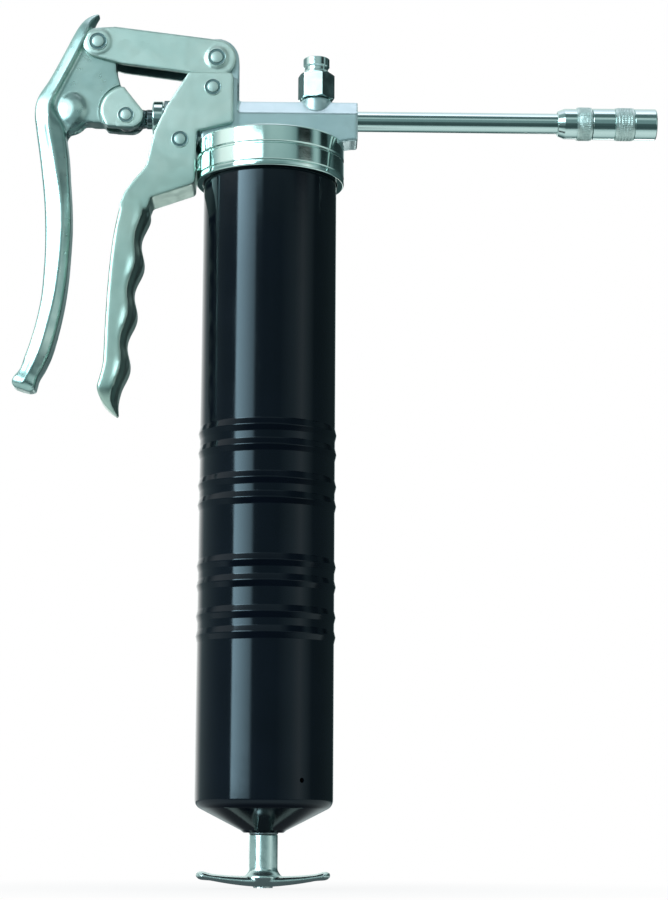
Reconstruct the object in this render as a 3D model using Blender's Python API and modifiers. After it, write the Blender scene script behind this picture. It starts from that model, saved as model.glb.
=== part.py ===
"""One-hand (pistol grip) grease gun for 400 g cartridges, built as separate pieces.

The barrel stands on +Z, the plunger and the delivery tube lie along +X, and the grip and the squeeze
lever are on the -X side.  The origin is on the barrel's axis, at the flat end of the follower rod under
the pull handle.  Every dimension below is in millimetres; MM turns it into metres.
"""
import math

import bmesh
import bpy
from mathutils import Matrix, Vector

MM = 0.001

# ---- driving dimensions ------------------------------------------------------------------------
BARREL_R = 28.5              # outer radius of the tube: a 57 mm barrel takes a 400 g cartridge
BARREL_WALL = 1.2
BARREL_TOP = 309.0
BARREL_BOTTOM = 33.0         # where the straight wall ends
CONE_BOTTOM = 22.2           # lower end of the spun cone
CONE_END_R = 8.2
CONE_SLOPE = 0.466           # rise of the cone over its radius
BEAD_HEIGHT = 0.6
BEAD_HALF_WIDTH = 2.4
BEAD_PAIR_CENTRES = (183.5, 161.5, 127.5, 106.5)
BEAD_PAIR_PITCH = 8.3
VENT_HOLE_Z = 43.0
VENT_HOLE_ANGLE = 33.0       # degrees from the front, towards +X

SKIRT_R = 31.75              # the turned skirt of the head
SKIRT_BOTTOM = 297.0
SKIRT_TOP = 315.0
AXIS_Z = 326.3               # height of the plunger and of the delivery tube
PUMP_R = 7.9                 # outside of the horizontal pump body
PUMP_LEFT = -46.2
PUMP_RIGHT = 37.5
PLUNGER_R = 4.25
PLUNGER_BORE_R = 4.5

PIN_A = (-23.5, 352.2)       # link to head, x and z
PIN_B = (-74.9, 358.8)       # link to lever
PIN_C = (-62.3, AXIS_Z)      # lever to plunger
PIN_R = 3.0
RIVET_UPPER = (-24.9, 337.9)
RIVET_LOWER = (-38.7, 314.5)
RIVET_R = 2.5

LINK_HALF = 7.0              # outside half width of the link
LINK_FLANGE = 2.2
WEB_HALF = 4.5               # half thickness of the lever and of the head's tang inside the link
LOBE_HALF = 6.0              # half thickness of the lever's lobe around the plunger pin
YOKE_HALF = 10.0             # outside half width of the grip's yoke
CHEEK = 2.1                  # thickness of each yoke cheek
GRIP_HALF = 12.0             # half width of the grip across the fingers

GRIP_TOP = 290.0
GRIP_BOTTOM = 193.8
FINGER_PITCH = 22.3
FINGER_DEPTH = 1.3
FINGER_CREST = 260.5         # height of one crest between two fingers

ROD_R = 4.0
STEM_R = 5.9
HANDLE_HALF = 27.4           # half length of the pull handle
ROD_TOP = 292.5
SPRING_R = 20.0
SPRING_WIRE = 1.1
SPRING_TURNS = 10
SPRING_BOTTOM = 31.5
SPRING_TOP = 271.0

VALVE_X = 19.6
VALVE_HEX_FLATS = 14.0
VALVE_HEX = (335.7, 346.9)
VALVE_TOP = 354.2
VALVE_NECK_R = 5.7

TUBE_R = 4.4
TUBE_BORE_R = 2.0
TUBE_ENDS = (30.4, 128.6)
COUPLER_ENDS = (124.2, 167.1)
COUPLER_R = 6.75
BAND_R = 7.25

GAP = 0.3                    # kept between pieces that touch
SEGMENTS = 32
SMALL_SEGMENTS = 20

# ---- scene and collections ---------------------------------------------------------------------
for old in list(bpy.data.objects):
    bpy.data.objects.remove(old, do_unlink=True)

parts = bpy.data.collections.new("grease_gun")
cutters = bpy.data.collections.new("cutters")
bpy.context.scene.collection.children.link(parts)
bpy.context.scene.collection.children.link(cutters)


def material(name, colour, roughness, metallic):
    mat = bpy.data.materials.new(name)
    mat.use_nodes = True
    shader = mat.node_tree.nodes["Principled BSDF"]
    shader.inputs["Base Color"].default_value = (*colour, 1.0)
    shader.inputs["Roughness"].default_value = roughness
    shader.inputs["Metallic"].default_value = metallic
    mat.diffuse_color = (*colour, 1.0)
    return mat


FINISHES = {
    "cast": ((0.60, 0.66, 0.64), 0.35, 1.0),
    "turned": ((0.72, 0.76, 0.75), 0.22, 1.0),
    "steel": ((0.55, 0.58, 0.58), 0.30, 1.0),
    "dark_steel": ((0.22, 0.24, 0.25), 0.35, 1.0),
    "black": ((0.012, 0.014, 0.020), 0.18, 0.0),
    "rubber": ((0.03, 0.03, 0.03), 0.75, 0.0),
}


# ---- helpers -----------------------------------------------------------------------------------
def place(obj, finish, cutter=False):
    """Put an object in its collection, with a material of its own."""
    if cutter:
        cutters.objects.link(obj)
        obj.hide_render = True
        obj.display_type = "WIRE"
        return obj
    parts.objects.link(obj)
    colour, roughness, metallic = FINISHES[finish]
    obj.data.materials.clear()
    obj.data.materials.append(material(obj.name + "_" + finish, colour, roughness, metallic))
    return obj


def smooth(obj, angle=35.0):
    """Shade a mesh smooth, with its real corners left sharp."""
    obj.data.shade_smooth()
    obj.data.set_sharp_from_angle(angle=math.radians(angle))
    return obj


def turned(name, profile, finish="steel", at=(0.0, 0.0, 0.0), along="Z", segments=SMALL_SEGMENTS,
           closed=False, cutter=False, start=0.0):
    """A turned solid.  The profile is (radius, height) down its outer side, top to bottom; closed
    joins its last point to its first, for a solid with a hole through it.  start is the angle in
    degrees at which the turning begins."""
    mesh = bpy.data.meshes.new(name)
    c, s = math.cos(math.radians(start)), math.sin(math.radians(start))
    points = [(r * c * MM, r * s * MM, h * MM) for r, h in profile]
    edges = [(i, i + 1) for i in range(len(points) - 1)]
    if closed:
        edges.append((len(points) - 1, 0))
    mesh.from_pydata(points, edges, [])
    obj = bpy.data.objects.new(name, mesh)
    obj.location = [c * MM for c in at]
    if along == "X":
        obj.rotation_euler = (0.0, math.pi / 2.0, 0.0)
    elif along == "Y":
        obj.rotation_euler = (-math.pi / 2.0, 0.0, 0.0)
    screw = obj.modifiers.new("turn", "SCREW")
    screw.steps = segments
    screw.render_steps = segments
    screw.use_merge_vertices = True
    screw.merge_threshold = 0.00001
    screw.use_smooth_shade = True
    return place(obj, finish, cutter)


def cylinder(name, radius, low, high, at=(0.0, 0.0, 0.0), along="Z", finish="steel",
             segments=SMALL_SEGMENTS, cutter=False, turn=0.0):
    """A straight cylinder from low to high along its axis."""
    bm = bmesh.new()
    bmesh.ops.create_cone(bm, cap_ends=True, segments=segments, radius1=radius * MM,
                          radius2=radius * MM, depth=(high - low) * MM)
    bmesh.ops.rotate(bm, verts=bm.verts, cent=(0.0, 0.0, 0.0),
                     matrix=rotation_about_z(turn))
    bmesh.ops.translate(bm, verts=bm.verts, vec=(0.0, 0.0, (high + low) / 2.0 * MM))
    mesh = bpy.data.meshes.new(name)
    bm.to_mesh(mesh)
    bm.free()
    obj = bpy.data.objects.new(name, mesh)
    obj.location = [c * MM for c in at]
    if along == "X":
        obj.rotation_euler = (0.0, math.pi / 2.0, 0.0)
    elif along == "Y":
        obj.rotation_euler = (-math.pi / 2.0, 0.0, 0.0)
    return smooth(place(obj, finish, cutter))


def rotation_about_z(degrees):
    return Matrix.Rotation(math.radians(degrees), 3, "Z")


def box(name, low, high):
    """A cutter: a block between two corners."""
    bm = bmesh.new()
    bmesh.ops.create_cube(bm, size=1.0)
    size = [(b - a) * MM for a, b in zip(low, high)]
    bmesh.ops.scale(bm, verts=bm.verts, vec=size)
    mesh = bpy.data.meshes.new(name)
    bm.to_mesh(mesh)
    bm.free()
    obj = bpy.data.objects.new(name, mesh)
    obj.location = [(a + b) / 2.0 * MM for a, b in zip(low, high)]
    return place(obj, None, cutter=True)


def rounded(corners, steps=5):
    """Outline points (x, z) of a polygon whose corners (x, z, radius) are rounded by arcs."""
    outline = []
    count = len(corners)
    for i, (x, z, radius) in enumerate(corners):
        here = Vector((x, z))
        before = Vector(corners[i - 1][:2])
        after = Vector(corners[(i + 1) % count][:2])
        if radius <= 0.0:
            outline.append((x, z))
            continue
        to_before = (before - here).normalized()
        to_after = (after - here).normalized()
        half = math.acos(max(-1.0, min(1.0, to_before.dot(to_after)))) / 2.0
        reach = radius / math.tan(half)
        reach = min(reach, 0.49 * (before - here).length, 0.49 * (after - here).length)
        true_radius = reach * math.tan(half)
        centre = here + (to_before + to_after).normalized() * (true_radius / math.sin(half))
        start = here + to_before * reach - centre
        end = here + to_after * reach - centre
        turn = start.angle_signed(end)
        for k in range(steps + 1):
            a = -turn * k / steps
            outline.append((centre.x + start.x * math.cos(a) - start.y * math.sin(a),
                            centre.y + start.x * math.sin(a) + start.y * math.cos(a)))
    return outline


def plate(name, outline, half, finish="cast", cutter=False):
    """A flat piece in the X-Z plane: its outline, extruded by half to each side of y = 0.
    The curve is made a mesh, so that it can be cut and joined."""
    curve = bpy.data.curves.new(name + "_outline", "CURVE")
    curve.dimensions = "2D"
    curve.fill_mode = "BOTH"
    curve.extrude = half * MM
    spline = curve.splines.new("POLY")
    spline.points.add(len(outline) - 1)
    for point, (x, z) in zip(spline.points, outline):
        point.co = (x * MM, z * MM, 0.0, 1.0)
    spline.use_cyclic_u = True
    draft = bpy.data.objects.new(name + "_outline", curve)
    draft.rotation_euler = (math.pi / 2.0, 0.0, 0.0)
    bpy.context.scene.collection.objects.link(draft)
    bpy.context.view_layer.update()
    drawn = draft.evaluated_get(bpy.context.evaluated_depsgraph_get())
    mesh = bpy.data.meshes.new_from_object(drawn)
    mesh.name = name
    bm = bmesh.new()
    bm.from_mesh(mesh)
    bmesh.ops.remove_doubles(bm, verts=bm.verts, dist=0.00001)
    bmesh.ops.dissolve_limit(bm, angle_limit=math.radians(0.5), verts=bm.verts, edges=bm.edges)
    bmesh.ops.recalc_face_normals(bm, faces=bm.faces)
    bm.to_mesh(mesh)
    bm.free()
    obj = bpy.data.objects.new(name, mesh)
    obj.matrix_world = draft.matrix_world.copy()
    bpy.data.objects.remove(draft, do_unlink=True)
    return smooth(place(obj, finish, cutter))


def loft(name, stations, finish="cast", cutter=False, around=16, squareness=2.6):
    """A bar through stations (x, z, heading in degrees, half width, half depth): each is a rounded
    section square to the bar's run, half width in the X-Z plane and half depth along Y."""
    bm = bmesh.new()
    rings = []
    for x, z, heading, half_width, half_depth in stations:
        side = Vector((math.cos(math.radians(heading)), 0.0, math.sin(math.radians(heading))))
        ring = []
        for k in range(around):
            a = 2.0 * math.pi * k / around
            c = math.copysign(abs(math.cos(a)) ** (2.0 / squareness), math.cos(a))
            s = math.copysign(abs(math.sin(a)) ** (2.0 / squareness), math.sin(a))
            point = Vector((x, s * half_depth, z)) + side * (c * half_width)
            ring.append(bm.verts.new(point * MM))
        rings.append(ring)
    for lower, upper in zip(rings[:-1], rings[1:]):
        for k in range(around):
            j = (k + 1) % around
            bm.faces.new((lower[k], lower[j], upper[j], upper[k]))
    bm.faces.new(rings[0])
    bm.faces.new(rings[-1])
    bmesh.ops.recalc_face_normals(bm, faces=bm.faces)
    mesh = bpy.data.meshes.new(name)
    bm.to_mesh(mesh)
    bm.free()
    return smooth(place(bpy.data.objects.new(name, mesh), finish, cutter))


def boolean(obj, other, operation):
    modifier = obj.modifiers.new(operation.lower(), "BOOLEAN")
    modifier.operation = operation
    modifier.object = other
    modifier.solver = "EXACT"
    return obj


def cut(obj, *others):
    for other in others:
        boolean(obj, other, "DIFFERENCE")
    return obj


def join(obj, *others):
    for other in others:
        boolean(obj, other, "UNION")
    return obj


def coil(name, radius, wire, low, high, turns, at=(0.0, 0.0, 0.0), along="Z", finish="steel",
         per_turn=12):
    """A helical spring whose wire centre runs from low to high along its axis."""
    curve = bpy.data.curves.new(name, "CURVE")
    curve.dimensions = "3D"
    curve.bevel_depth = wire * MM
    curve.bevel_resolution = 1
    curve.use_fill_caps = True
    spline = curve.splines.new("POLY")
    count = int(turns * per_turn) + 1
    spline.points.add(count - 1)
    for i, point in enumerate(spline.points):
        a = 2.0 * math.pi * i / per_turn
        h = low + (high - low) * i / (count - 1)
        point.co = (radius * math.cos(a) * MM, radius * math.sin(a) * MM, h * MM, 1.0)
    obj = bpy.data.objects.new(name, curve)
    obj.location = [c * MM for c in at]
    if along == "X":
        obj.rotation_euler = (0.0, math.pi / 2.0, 0.0)
    return place(obj, finish)


def pivot(name, x, z, children):
    """An empty on a hinge's axis, which the moving pieces hang from."""
    empty = bpy.data.objects.new(name, None)
    empty.location = (x * MM, 0.0, z * MM)
    parts.objects.link(empty)
    bpy.context.view_layer.update()
    for child in children:
        child.parent = empty
        child.matrix_parent_inverse = empty.matrix_world.inverted()
    return empty


def rivet(name, centre, half, head_r, finish="turned", shank=RIVET_R, head=1.0):
    """A headed pin along Y through (x, z), with a shallow domed head at each end."""
    profile = [
        (0.0, half + head),
        (head_r * 0.72, half + head * 0.86),
        (head_r, half + GAP),
        (shank, half + GAP),
        (shank, -half - GAP),
        (head_r, -half - GAP),
        (head_r * 0.72, -half - head * 0.86),
        (0.0, -half - head),
    ]
    return turned(name, profile, finish, at=(centre[0], 0.0, centre[1]), along="Y", segments=14)


# ---- barrel ------------------------------------------------------------------------------------
def bead_profile(centre):
    return [
        (BARREL_R, centre + BEAD_HALF_WIDTH),
        (BARREL_R + BEAD_HEIGHT, centre),
        (BARREL_R, centre - BEAD_HALF_WIDTH),
    ]


def cone_z(radius):
    """Height of the cone's outer face at a radius."""
    return CONE_BOTTOM + 1.0 + (radius - CONE_END_R - 1.2) * CONE_SLOPE


cone_lift = BARREL_WALL * math.sqrt(1.0 + CONE_SLOPE ** 2)
barrel_profile = [(BARREL_R, BARREL_TOP)]
for pair in BEAD_PAIR_CENTRES:
    barrel_profile += bead_profile(pair + BEAD_PAIR_PITCH / 2.0)
    barrel_profile += bead_profile(pair - BEAD_PAIR_PITCH / 2.0)
barrel_profile += [
    (BARREL_R, BARREL_BOTTOM + 1.6),
    (BARREL_R - 0.6, BARREL_BOTTOM),
    (BARREL_R - 2.0, cone_z(BARREL_R - 2.0)),
    (CONE_END_R + 1.2, cone_z(CONE_END_R + 1.2)),
    (CONE_END_R, CONE_BOTTOM),
    (ROD_R + 2.3, CONE_BOTTOM),
    (ROD_R + 2.3, cone_z(CONE_END_R + 1.2) + cone_lift),
    (CONE_END_R + 1.2, cone_z(CONE_END_R + 1.2) + cone_lift),
    (BARREL_R - 2.4, cone_z(BARREL_R - 2.4) + cone_lift),
    (BARREL_R - BARREL_WALL, BARREL_BOTTOM + 1.8),
    (BARREL_R - BARREL_WALL, BARREL_TOP),
]
barrel = turned("barrel_tube", barrel_profile, "black", segments=SEGMENTS, closed=True)
vent_hole = cylinder("vent_hole_cutter", 0.9, -BARREL_R - 3.0, -BARREL_R + 4.0,
                     at=(0.0, 0.0, VENT_HOLE_Z), along="Y", cutter=True, segments=10)
vent_hole.rotation_euler[2] = math.radians(VENT_HOLE_ANGLE)
cut(barrel, vent_hole)

turned("barrel_gasket", [
    (27.4, 311.1), (27.4, 309.3), (24.2, 309.3), (24.2, 311.1)],
    "rubber", closed=True, segments=SEGMENTS)

bush_r = ROD_R + 2.0
bush_floor = cone_z(CONE_END_R + 1.2) + cone_lift + GAP
turned("rod_guide_bush", [
    (9.0, bush_floor + 2.4), (9.0, bush_floor), (bush_r, bush_floor), (bush_r, CONE_BOTTOM - 0.5),
    (ROD_R + GAP, CONE_BOTTOM - 0.5), (ROD_R + GAP, bush_floor + 2.4)], "steel", closed=True)

# ---- head --------------------------------------------------------------------------------------
head = turned("head_casting", [
    (0.0, SKIRT_TOP + 3.0),
    (14.0, SKIRT_TOP + 3.0),
    (27.5, SKIRT_TOP),
    (SKIRT_R - 0.8, SKIRT_TOP),
    (SKIRT_R, SKIRT_TOP - 0.8),
    (SKIRT_R, SKIRT_TOP - 7.4),
    (SKIRT_R - 0.5, SKIRT_TOP - 8.0),
    (SKIRT_R, SKIRT_TOP - 8.6),
    (SKIRT_R, SKIRT_BOTTOM + 0.7),
    (SKIRT_R - 0.7, SKIRT_BOTTOM),
    (BARREL_R + GAP, SKIRT_BOTTOM),
    (BARREL_R + GAP, 311.5),
    (23.0, 311.5),
    (21.0, 313.4),
    (0.0, 313.4)], "cast", segments=SEGMENTS)

pump_body = turned("pump_body_union", [
    (0.0, PUMP_RIGHT), (PUMP_R - 0.5, PUMP_RIGHT), (PUMP_R, PUMP_RIGHT - 0.5),
    (PUMP_R, PUMP_LEFT + 0.4), (PUMP_R - 0.4, PUMP_LEFT), (0.0, PUMP_LEFT)],
    at=(0.0, 0.0, AXIS_Z), along="X", segments=28, cutter=True, start=180.0 / 28.0)
saddle = plate("saddle_union", rounded([
    (-30.5, SKIRT_TOP - 0.6, 0.0), (30.0, SKIRT_TOP - 0.6, 0.0),
    (PUMP_RIGHT - 0.02, SKIRT_TOP + 0.4, 0.8), (PUMP_RIGHT - 0.02, AXIS_Z, 0.0),
    (-30.5, AXIS_Z, 0.0)]), 7.5, cutter=True)
valve_boss = cylinder("valve_boss_union", 6.9, AXIS_Z - 1.0, VALVE_HEX[0] - GAP,
                      at=(VALVE_X, 0.0, 0.0), cutter=True)
lug_half = YOKE_HALF - CHEEK - GAP
lug = plate("lug_union", rounded([
    (-14.3, AXIS_Z - 4.0, 0.0), (-14.3, 343.0, 2.0), (-33.2, 343.0, 2.0), (-41.5, 330.0, 2.0),
    (-45.2, 322.0, 2.0), (-46.0, 309.6, 2.5), (-33.0, 307.4, 1.0), (-30.9, 312.0, 0.0),
    (-30.9, AXIS_Z - 4.0, 0.0)]), lug_half, cutter=True)


def arc(centre, radius, start, end, steps):
    """Points on an arc, angles in degrees from +X towards +Z."""
    return [(centre[0] + radius * math.cos(math.radians(start + (end - start) * k / steps)),
             centre[1] + radius * math.sin(math.radians(start + (end - start) * k / steps)))
            for k in range(steps + 1)]


tang = plate("tang_union", [(-13.7, 329.0)] + arc(PIN_A, 9.8, 0.0, 180.0, 12) + [(-33.3, 329.0)],
             WEB_HALF, cutter=True)
join(head, pump_body, saddle, valve_boss, lug, tang)
# The stepped bore along the pump: tube socket, valve seat, plunger bore and packing room.
pump_bore = turned("pump_bore_cutter", [
    (0.0, PUMP_RIGHT + 1.0), (TUBE_R + GAP, PUMP_RIGHT + 1.0), (TUBE_R + GAP, 14.0), (2.8, 14.0),
    (2.8, 10.0), (PLUNGER_BORE_R, 10.0), (PLUNGER_BORE_R, -38.0), (6.5, -38.0),
    (6.5, PUMP_LEFT - 1.0), (0.0, PUMP_LEFT - 1.0)],
    at=(0.0, 0.0, AXIS_Z), along="X", segments=20, cutter=True)
cut(head, pump_bore,
    cylinder("inlet_port_cutter", 3.0, 309.0, AXIS_Z - 1.0, at=(-6.0, 0.0, 0.0),
             cutter=True, segments=16),
    cylinder("filler_bore_cutter", 4.3, AXIS_Z + 3.5, VALVE_HEX[0] + 1.0,
             at=(VALVE_X, 0.0, 0.0), cutter=True, segments=20),
    cylinder("link_pin_bore_cutter", PIN_R + 0.1, -20.0, 20.0, at=(PIN_A[0], 0.0, PIN_A[1]),
             along="Y", cutter=True, segments=16),
    cylinder("rivet_bore_cutter_upper", RIVET_R + 0.1, -20.0, 20.0,
             at=(RIVET_UPPER[0], 0.0, RIVET_UPPER[1]), along="Y", cutter=True, segments=16),
    cylinder("rivet_bore_cutter_lower", RIVET_R + 0.1, -20.0, 20.0,
             at=(RIVET_LOWER[0], 0.0, RIVET_LOWER[1]), along="Y", cutter=True, segments=16))

# The gland: a nut that squeezes the plunger's packing.
nut_left = -51.0
turned("packing_nut", [
    (PLUNGER_BORE_R + 0.1, -42.9), (6.2, -42.9), (6.2, PUMP_LEFT - GAP), (PUMP_R, PUMP_LEFT - GAP),
    (PUMP_R, nut_left + 0.6), (PUMP_R - 0.6, nut_left), (PLUNGER_BORE_R + 0.1, nut_left)],
    "steel", at=(0.0, 0.0, AXIS_Z), along="X", closed=True)
turned("plunger_packing", [
    (6.2, -38.4), (6.2, -42.6), (PLUNGER_R + 0.15, -42.6), (PLUNGER_R + 0.15, -38.4)],
    "rubber", at=(0.0, 0.0, AXIS_Z), along="X", closed=True)

# ---- grip with its yoke --------------------------------------------------------------------------
def grip_front(z):
    """The finger side: shallow scallops on a leaning line."""
    wave = FINGER_DEPTH * math.cos(2.0 * math.pi * (z - FINGER_CREST) / FINGER_PITCH)
    return -54.9 - 0.115 * (FINGER_CREST - z) + wave


def grip_back(z):
    return -64.3 - 0.105 * (288.0 - z)


yoke_outline = rounded([
    (-35.6, 344.6, 1.2), (-16.2, 344.6, 1.5), (-16.2, 322.4, 1.2), (-31.8, 318.2, 1.0),
    (-32.3, 295.2, 1.5), (-48.6, 288.9, 4.0), (-52.0, 280.0, 3.0), (-65.2, 281.0, 3.0),
    (-64.2, 289.0, 4.0), (-58.0, 294.0, 6.0), (-54.4, 301.0, 8.0), (-50.4, 316.2, 10.0),
    (-44.6, 329.4, 10.0)])
grip = plate("fixed_grip", yoke_outline, YOKE_HALF, "cast")
grip_stations = []
grip_count = 20
for i in range(grip_count + 1):
    z = GRIP_TOP - (GRIP_TOP - 206.0) * i / grip_count
    front, back = grip_front(z), grip_back(z)
    half_depth = GRIP_HALF * min(1.0, 0.80 + 0.2 * i / 4.0)
    grip_stations.append(((front + back) / 2.0, z, 0.0, (front - back) / 2.0, half_depth))
for i in range(1, 5):
    t = i / 4.0
    z = 206.0 - (206.0 - GRIP_BOTTOM) * t
    front = -62.4 - 0.8 * math.sin(math.pi * t)
    back = -72.9 + 9.0 * t ** 1.6
    half_depth = GRIP_HALF * (1.0 - 0.55 * t ** 2)
    grip_stations.append(((front + back) / 2.0, z, 0.0, (front - back) / 2.0, half_depth))
join(grip, loft("grip_union", grip_stations, cutter=True, around=14))
cut(grip,
    plate("yoke_pocket_cutter", rounded([
        (-10.0, 350.0, 0.0), (-10.0, 303.0, 0.0), (-30.0, 303.0, 0.0), (-50.0, 300.5, 3.0),
        (-70.0, 306.0, 0.0), (-70.0, 350.0, 0.0)]), YOKE_HALF - CHEEK, cutter=True),
    cylinder("yoke_bore_cutter_upper", RIVET_R + 0.1, -20.0, 20.0,
             at=(RIVET_UPPER[0], 0.0, RIVET_UPPER[1]), along="Y", cutter=True, segments=16),
    cylinder("yoke_bore_cutter_lower", RIVET_R + 0.1, -20.0, 20.0,
             at=(RIVET_LOWER[0], 0.0, RIVET_LOWER[1]), along="Y", cutter=True, segments=16))
rivet("yoke_rivet_upper", RIVET_UPPER, YOKE_HALF, 3.6)
rivet("yoke_rivet_lower", RIVET_LOWER, YOKE_HALF, 3.6)

# ---- link --------------------------------------------------------------------------------------
link_outline = (arc(PIN_A, 8.2, -95.0, 83.0, 10) + [(-66.0, 366.9)]
                + arc(PIN_B, 6.8, 100.0, 255.0, 8) + [(-64.0, 349.2)])
link = plate("link", link_outline, LINK_HALF, "cast")
channel = LINK_HALF - LINK_FLANGE
cut(link,
    box("link_channel_cutter", (-100.0, -channel, 330.0), (0.0, channel, 360.5)),
    box("link_left_slot_cutter", (-100.0, -channel, 340.0), (-63.5, channel, 380.0)),
    box("link_right_slot_cutter", (-34.6, -channel, 340.0), (0.0, channel, 380.0)),
    cylinder("link_bore_cutter_a", PIN_R + 0.1, -20.0, 20.0, at=(PIN_A[0], 0.0, PIN_A[1]),
             along="Y", cutter=True, segments=16),
    cylinder("link_bore_cutter_b", PIN_R + 0.1, -20.0, 20.0, at=(PIN_B[0], 0.0, PIN_B[1]),
             along="Y", cutter=True, segments=16))
rivet("link_head_pin", PIN_A, LINK_HALF, 4.6, shank=PIN_R)
lever_pin = rivet("link_lever_pin", PIN_B, LINK_HALF, 4.6, shank=PIN_R)
pivot("link_axis", PIN_A[0], PIN_A[1], [link, lever_pin])

# ---- squeeze lever -------------------------------------------------------------------------------
# The palm bar: x, z, heading of its section, half width in X-Z and half depth along Y.
palm_bar = [
    (-77.6, 371.6, -48.0, 1.6, 5.0),
    (-80.4, 368.6, -40.0, 3.0, 7.0),
    (-84.6, 362.2, -28.0, 3.4, 8.4),
    (-90.2, 350.0, -24.0, 4.2, 9.0),
    (-94.6, 338.6, -19.0, 5.2, 9.0),
    (-96.2, 327.0, -4.0, 5.9, 9.0),
    (-95.0, 314.0, 7.0, 6.5, 9.0),
    (-93.2, 299.0, 6.5, 6.5, 9.0),
    (-91.6, 283.0, 4.0, 6.4, 9.0),
    (-91.0, 266.0, 0.0, 6.4, 9.0),
    (-91.7, 250.0, -5.0, 6.3, 9.0),
    (-94.0, 234.0, -12.0, 6.4, 9.0),
    (-97.4, 221.0, -20.0, 6.3, 9.0),
    (-101.3, 212.0, -30.0, 5.9, 8.6),
    (-104.3, 207.6, -38.0, 4.2, 7.2),
    (-105.9, 205.6, -40.0, 1.8, 4.6),
]
lever = loft("squeeze_lever", palm_bar, "cast", around=14)
web_outline = (
    arc(PIN_B, 7.6, 20.0, 110.0, 6)
    + [(-83.0, 364.0), (-92.0, 345.0), (-94.5, 330.0), (-92.0, 316.0), (-88.6, 317.6)]
    + arc((-79.8, 315.2), 8.6, 150.0, 60.0, 6)
    + [(-70.6, 319.4), (-65.5, 317.2)]
    + arc((-60.6, 322.0), 6.0, -95.0, 0.0, 5)
    + [(-54.7, 328.2), (-64.8, 339.8), (-66.6, 346.0)])
web = plate("lever_web_union", web_outline, WEB_HALF, cutter=True)
pad = plate("lever_pad_union",
            arc((-62.6, 326.6), 10.9, 95.0, 235.0, 10) + arc((-60.6, 322.0), 6.0, -95.0, 0.0, 5)
            + [(-54.7, 328.2), (-62.0, 336.6)], LOBE_HALF, cutter=True)
join(lever, web, pad)
cut(lever,
    plate("fork_slot_cutter", [(-40.0, 310.0), (-40.0, 345.0), (-62.0, 345.0)]
          + arc(PIN_C, 9.6, 100.0, 255.0, 10) + [(-62.0, 310.0)], 2.4, cutter=True),
    cylinder("lever_bore_cutter_b", PIN_R + 0.1, -20.0, 20.0, at=(PIN_B[0], 0.0, PIN_B[1]),
             along="Y", cutter=True, segments=16),
    cylinder("lever_bore_cutter_c", PIN_R + 0.1, -20.0, 20.0, at=(PIN_C[0], 0.0, PIN_C[1]),
             along="Y", cutter=True, segments=16))
plunger_pin = rivet("plunger_pin", PIN_C, LOBE_HALF, 3.9, shank=PIN_R)
pivot("lever_axis", PIN_B[0], PIN_B[1], [lever, plunger_pin])

# ---- plunger -------------------------------------------------------------------------------------
plunger = turned("plunger", [
    (0.0, 0.0), (PLUNGER_R - 0.4, 0.0), (PLUNGER_R, -0.4), (PLUNGER_R, -53.6), (0.0, -53.6)],
    "dark_steel", at=(0.0, 0.0, AXIS_Z), along="X")
tongue = plate("plunger_tongue_union", [(-52.0, AXIS_Z - 3.4), (-52.0, AXIS_Z + 3.4)]
               + arc(PIN_C, 5.4, 60.0, 300.0, 12), 2.0, cutter=True)
join(plunger, tongue)
cut(plunger, cylinder("plunger_eye_cutter", PIN_R + 0.8, -20.0, 20.0, at=(PIN_C[0], 0.0, PIN_C[1]),
                      along="Y", cutter=True, segments=16))

# ---- outlet: check valve, tube and coupler ---------------------------------------------------------
ball_r = 3.6
ball_x = 14.0 + math.sqrt(ball_r ** 2 - 2.8 ** 2) + 0.2
ball_mesh = bpy.data.meshes.new("check_ball")
bm = bmesh.new()
bmesh.ops.create_uvsphere(bm, u_segments=14, v_segments=8, radius=ball_r * MM)
bm.to_mesh(ball_mesh)
bm.free()
ball = bpy.data.objects.new("check_ball", ball_mesh)
ball.location = (ball_x * MM, 0.0, AXIS_Z * MM)
smooth(place(ball, "turned"))
coil("check_spring", 3.1, 0.4, ball_x + ball_r + 0.8, 27.9, 4, at=(0.0, 0.0, AXIS_Z), along="X",
     per_turn=8)

turned("delivery_tube", [
    (TUBE_R - 0.3, TUBE_ENDS[1]), (TUBE_R, TUBE_ENDS[1] - 0.3), (TUBE_R, TUBE_ENDS[0]),
    (TUBE_BORE_R, TUBE_ENDS[0]), (TUBE_BORE_R, TUBE_ENDS[1])],
    "turned", at=(0.0, 0.0, AXIS_Z), along="X", closed=True)
turned("coupler_body", [
    (5.5, 143.4), (5.5, 139.0), (BAND_R - 0.3, 139.0), (BAND_R, 138.7), (BAND_R, 132.8),
    (BAND_R - 0.3, 132.5), (COUPLER_R - 0.2, 132.5), (COUPLER_R - 0.2, 127.2),
    (COUPLER_R - 0.7, 126.6), (TUBE_R + 0.9, COUPLER_ENDS[0]), (TUBE_R + GAP, COUPLER_ENDS[0]),
    (TUBE_R + GAP, 129.0), (2.6, 129.0), (2.6, 143.4)],
    "turned", at=(0.0, 0.0, AXIS_Z), along="X", closed=True)
turned("coupler_sleeve", [
    (COUPLER_R - 0.6, COUPLER_ENDS[1]), (COUPLER_R, COUPLER_ENDS[1] - 0.6), (COUPLER_R, 157.5),
    (BAND_R - 0.1, 157.2), (BAND_R - 0.1, 149.3), (COUPLER_R, 149.0), (COUPLER_R, 139.3),
    (5.8, 139.3), (5.8, 157.6), (5.1, 158.4), (5.1, COUPLER_ENDS[1])],
    "turned", at=(0.0, 0.0, AXIS_Z), along="X", closed=True)
turned("coupler_seal", [
    (5.4, 156.3), (5.4, 151.0), (2.4, 151.0), (3.0, 156.3)],
    "rubber", at=(0.0, 0.0, AXIS_Z), along="X", closed=True)


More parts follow.
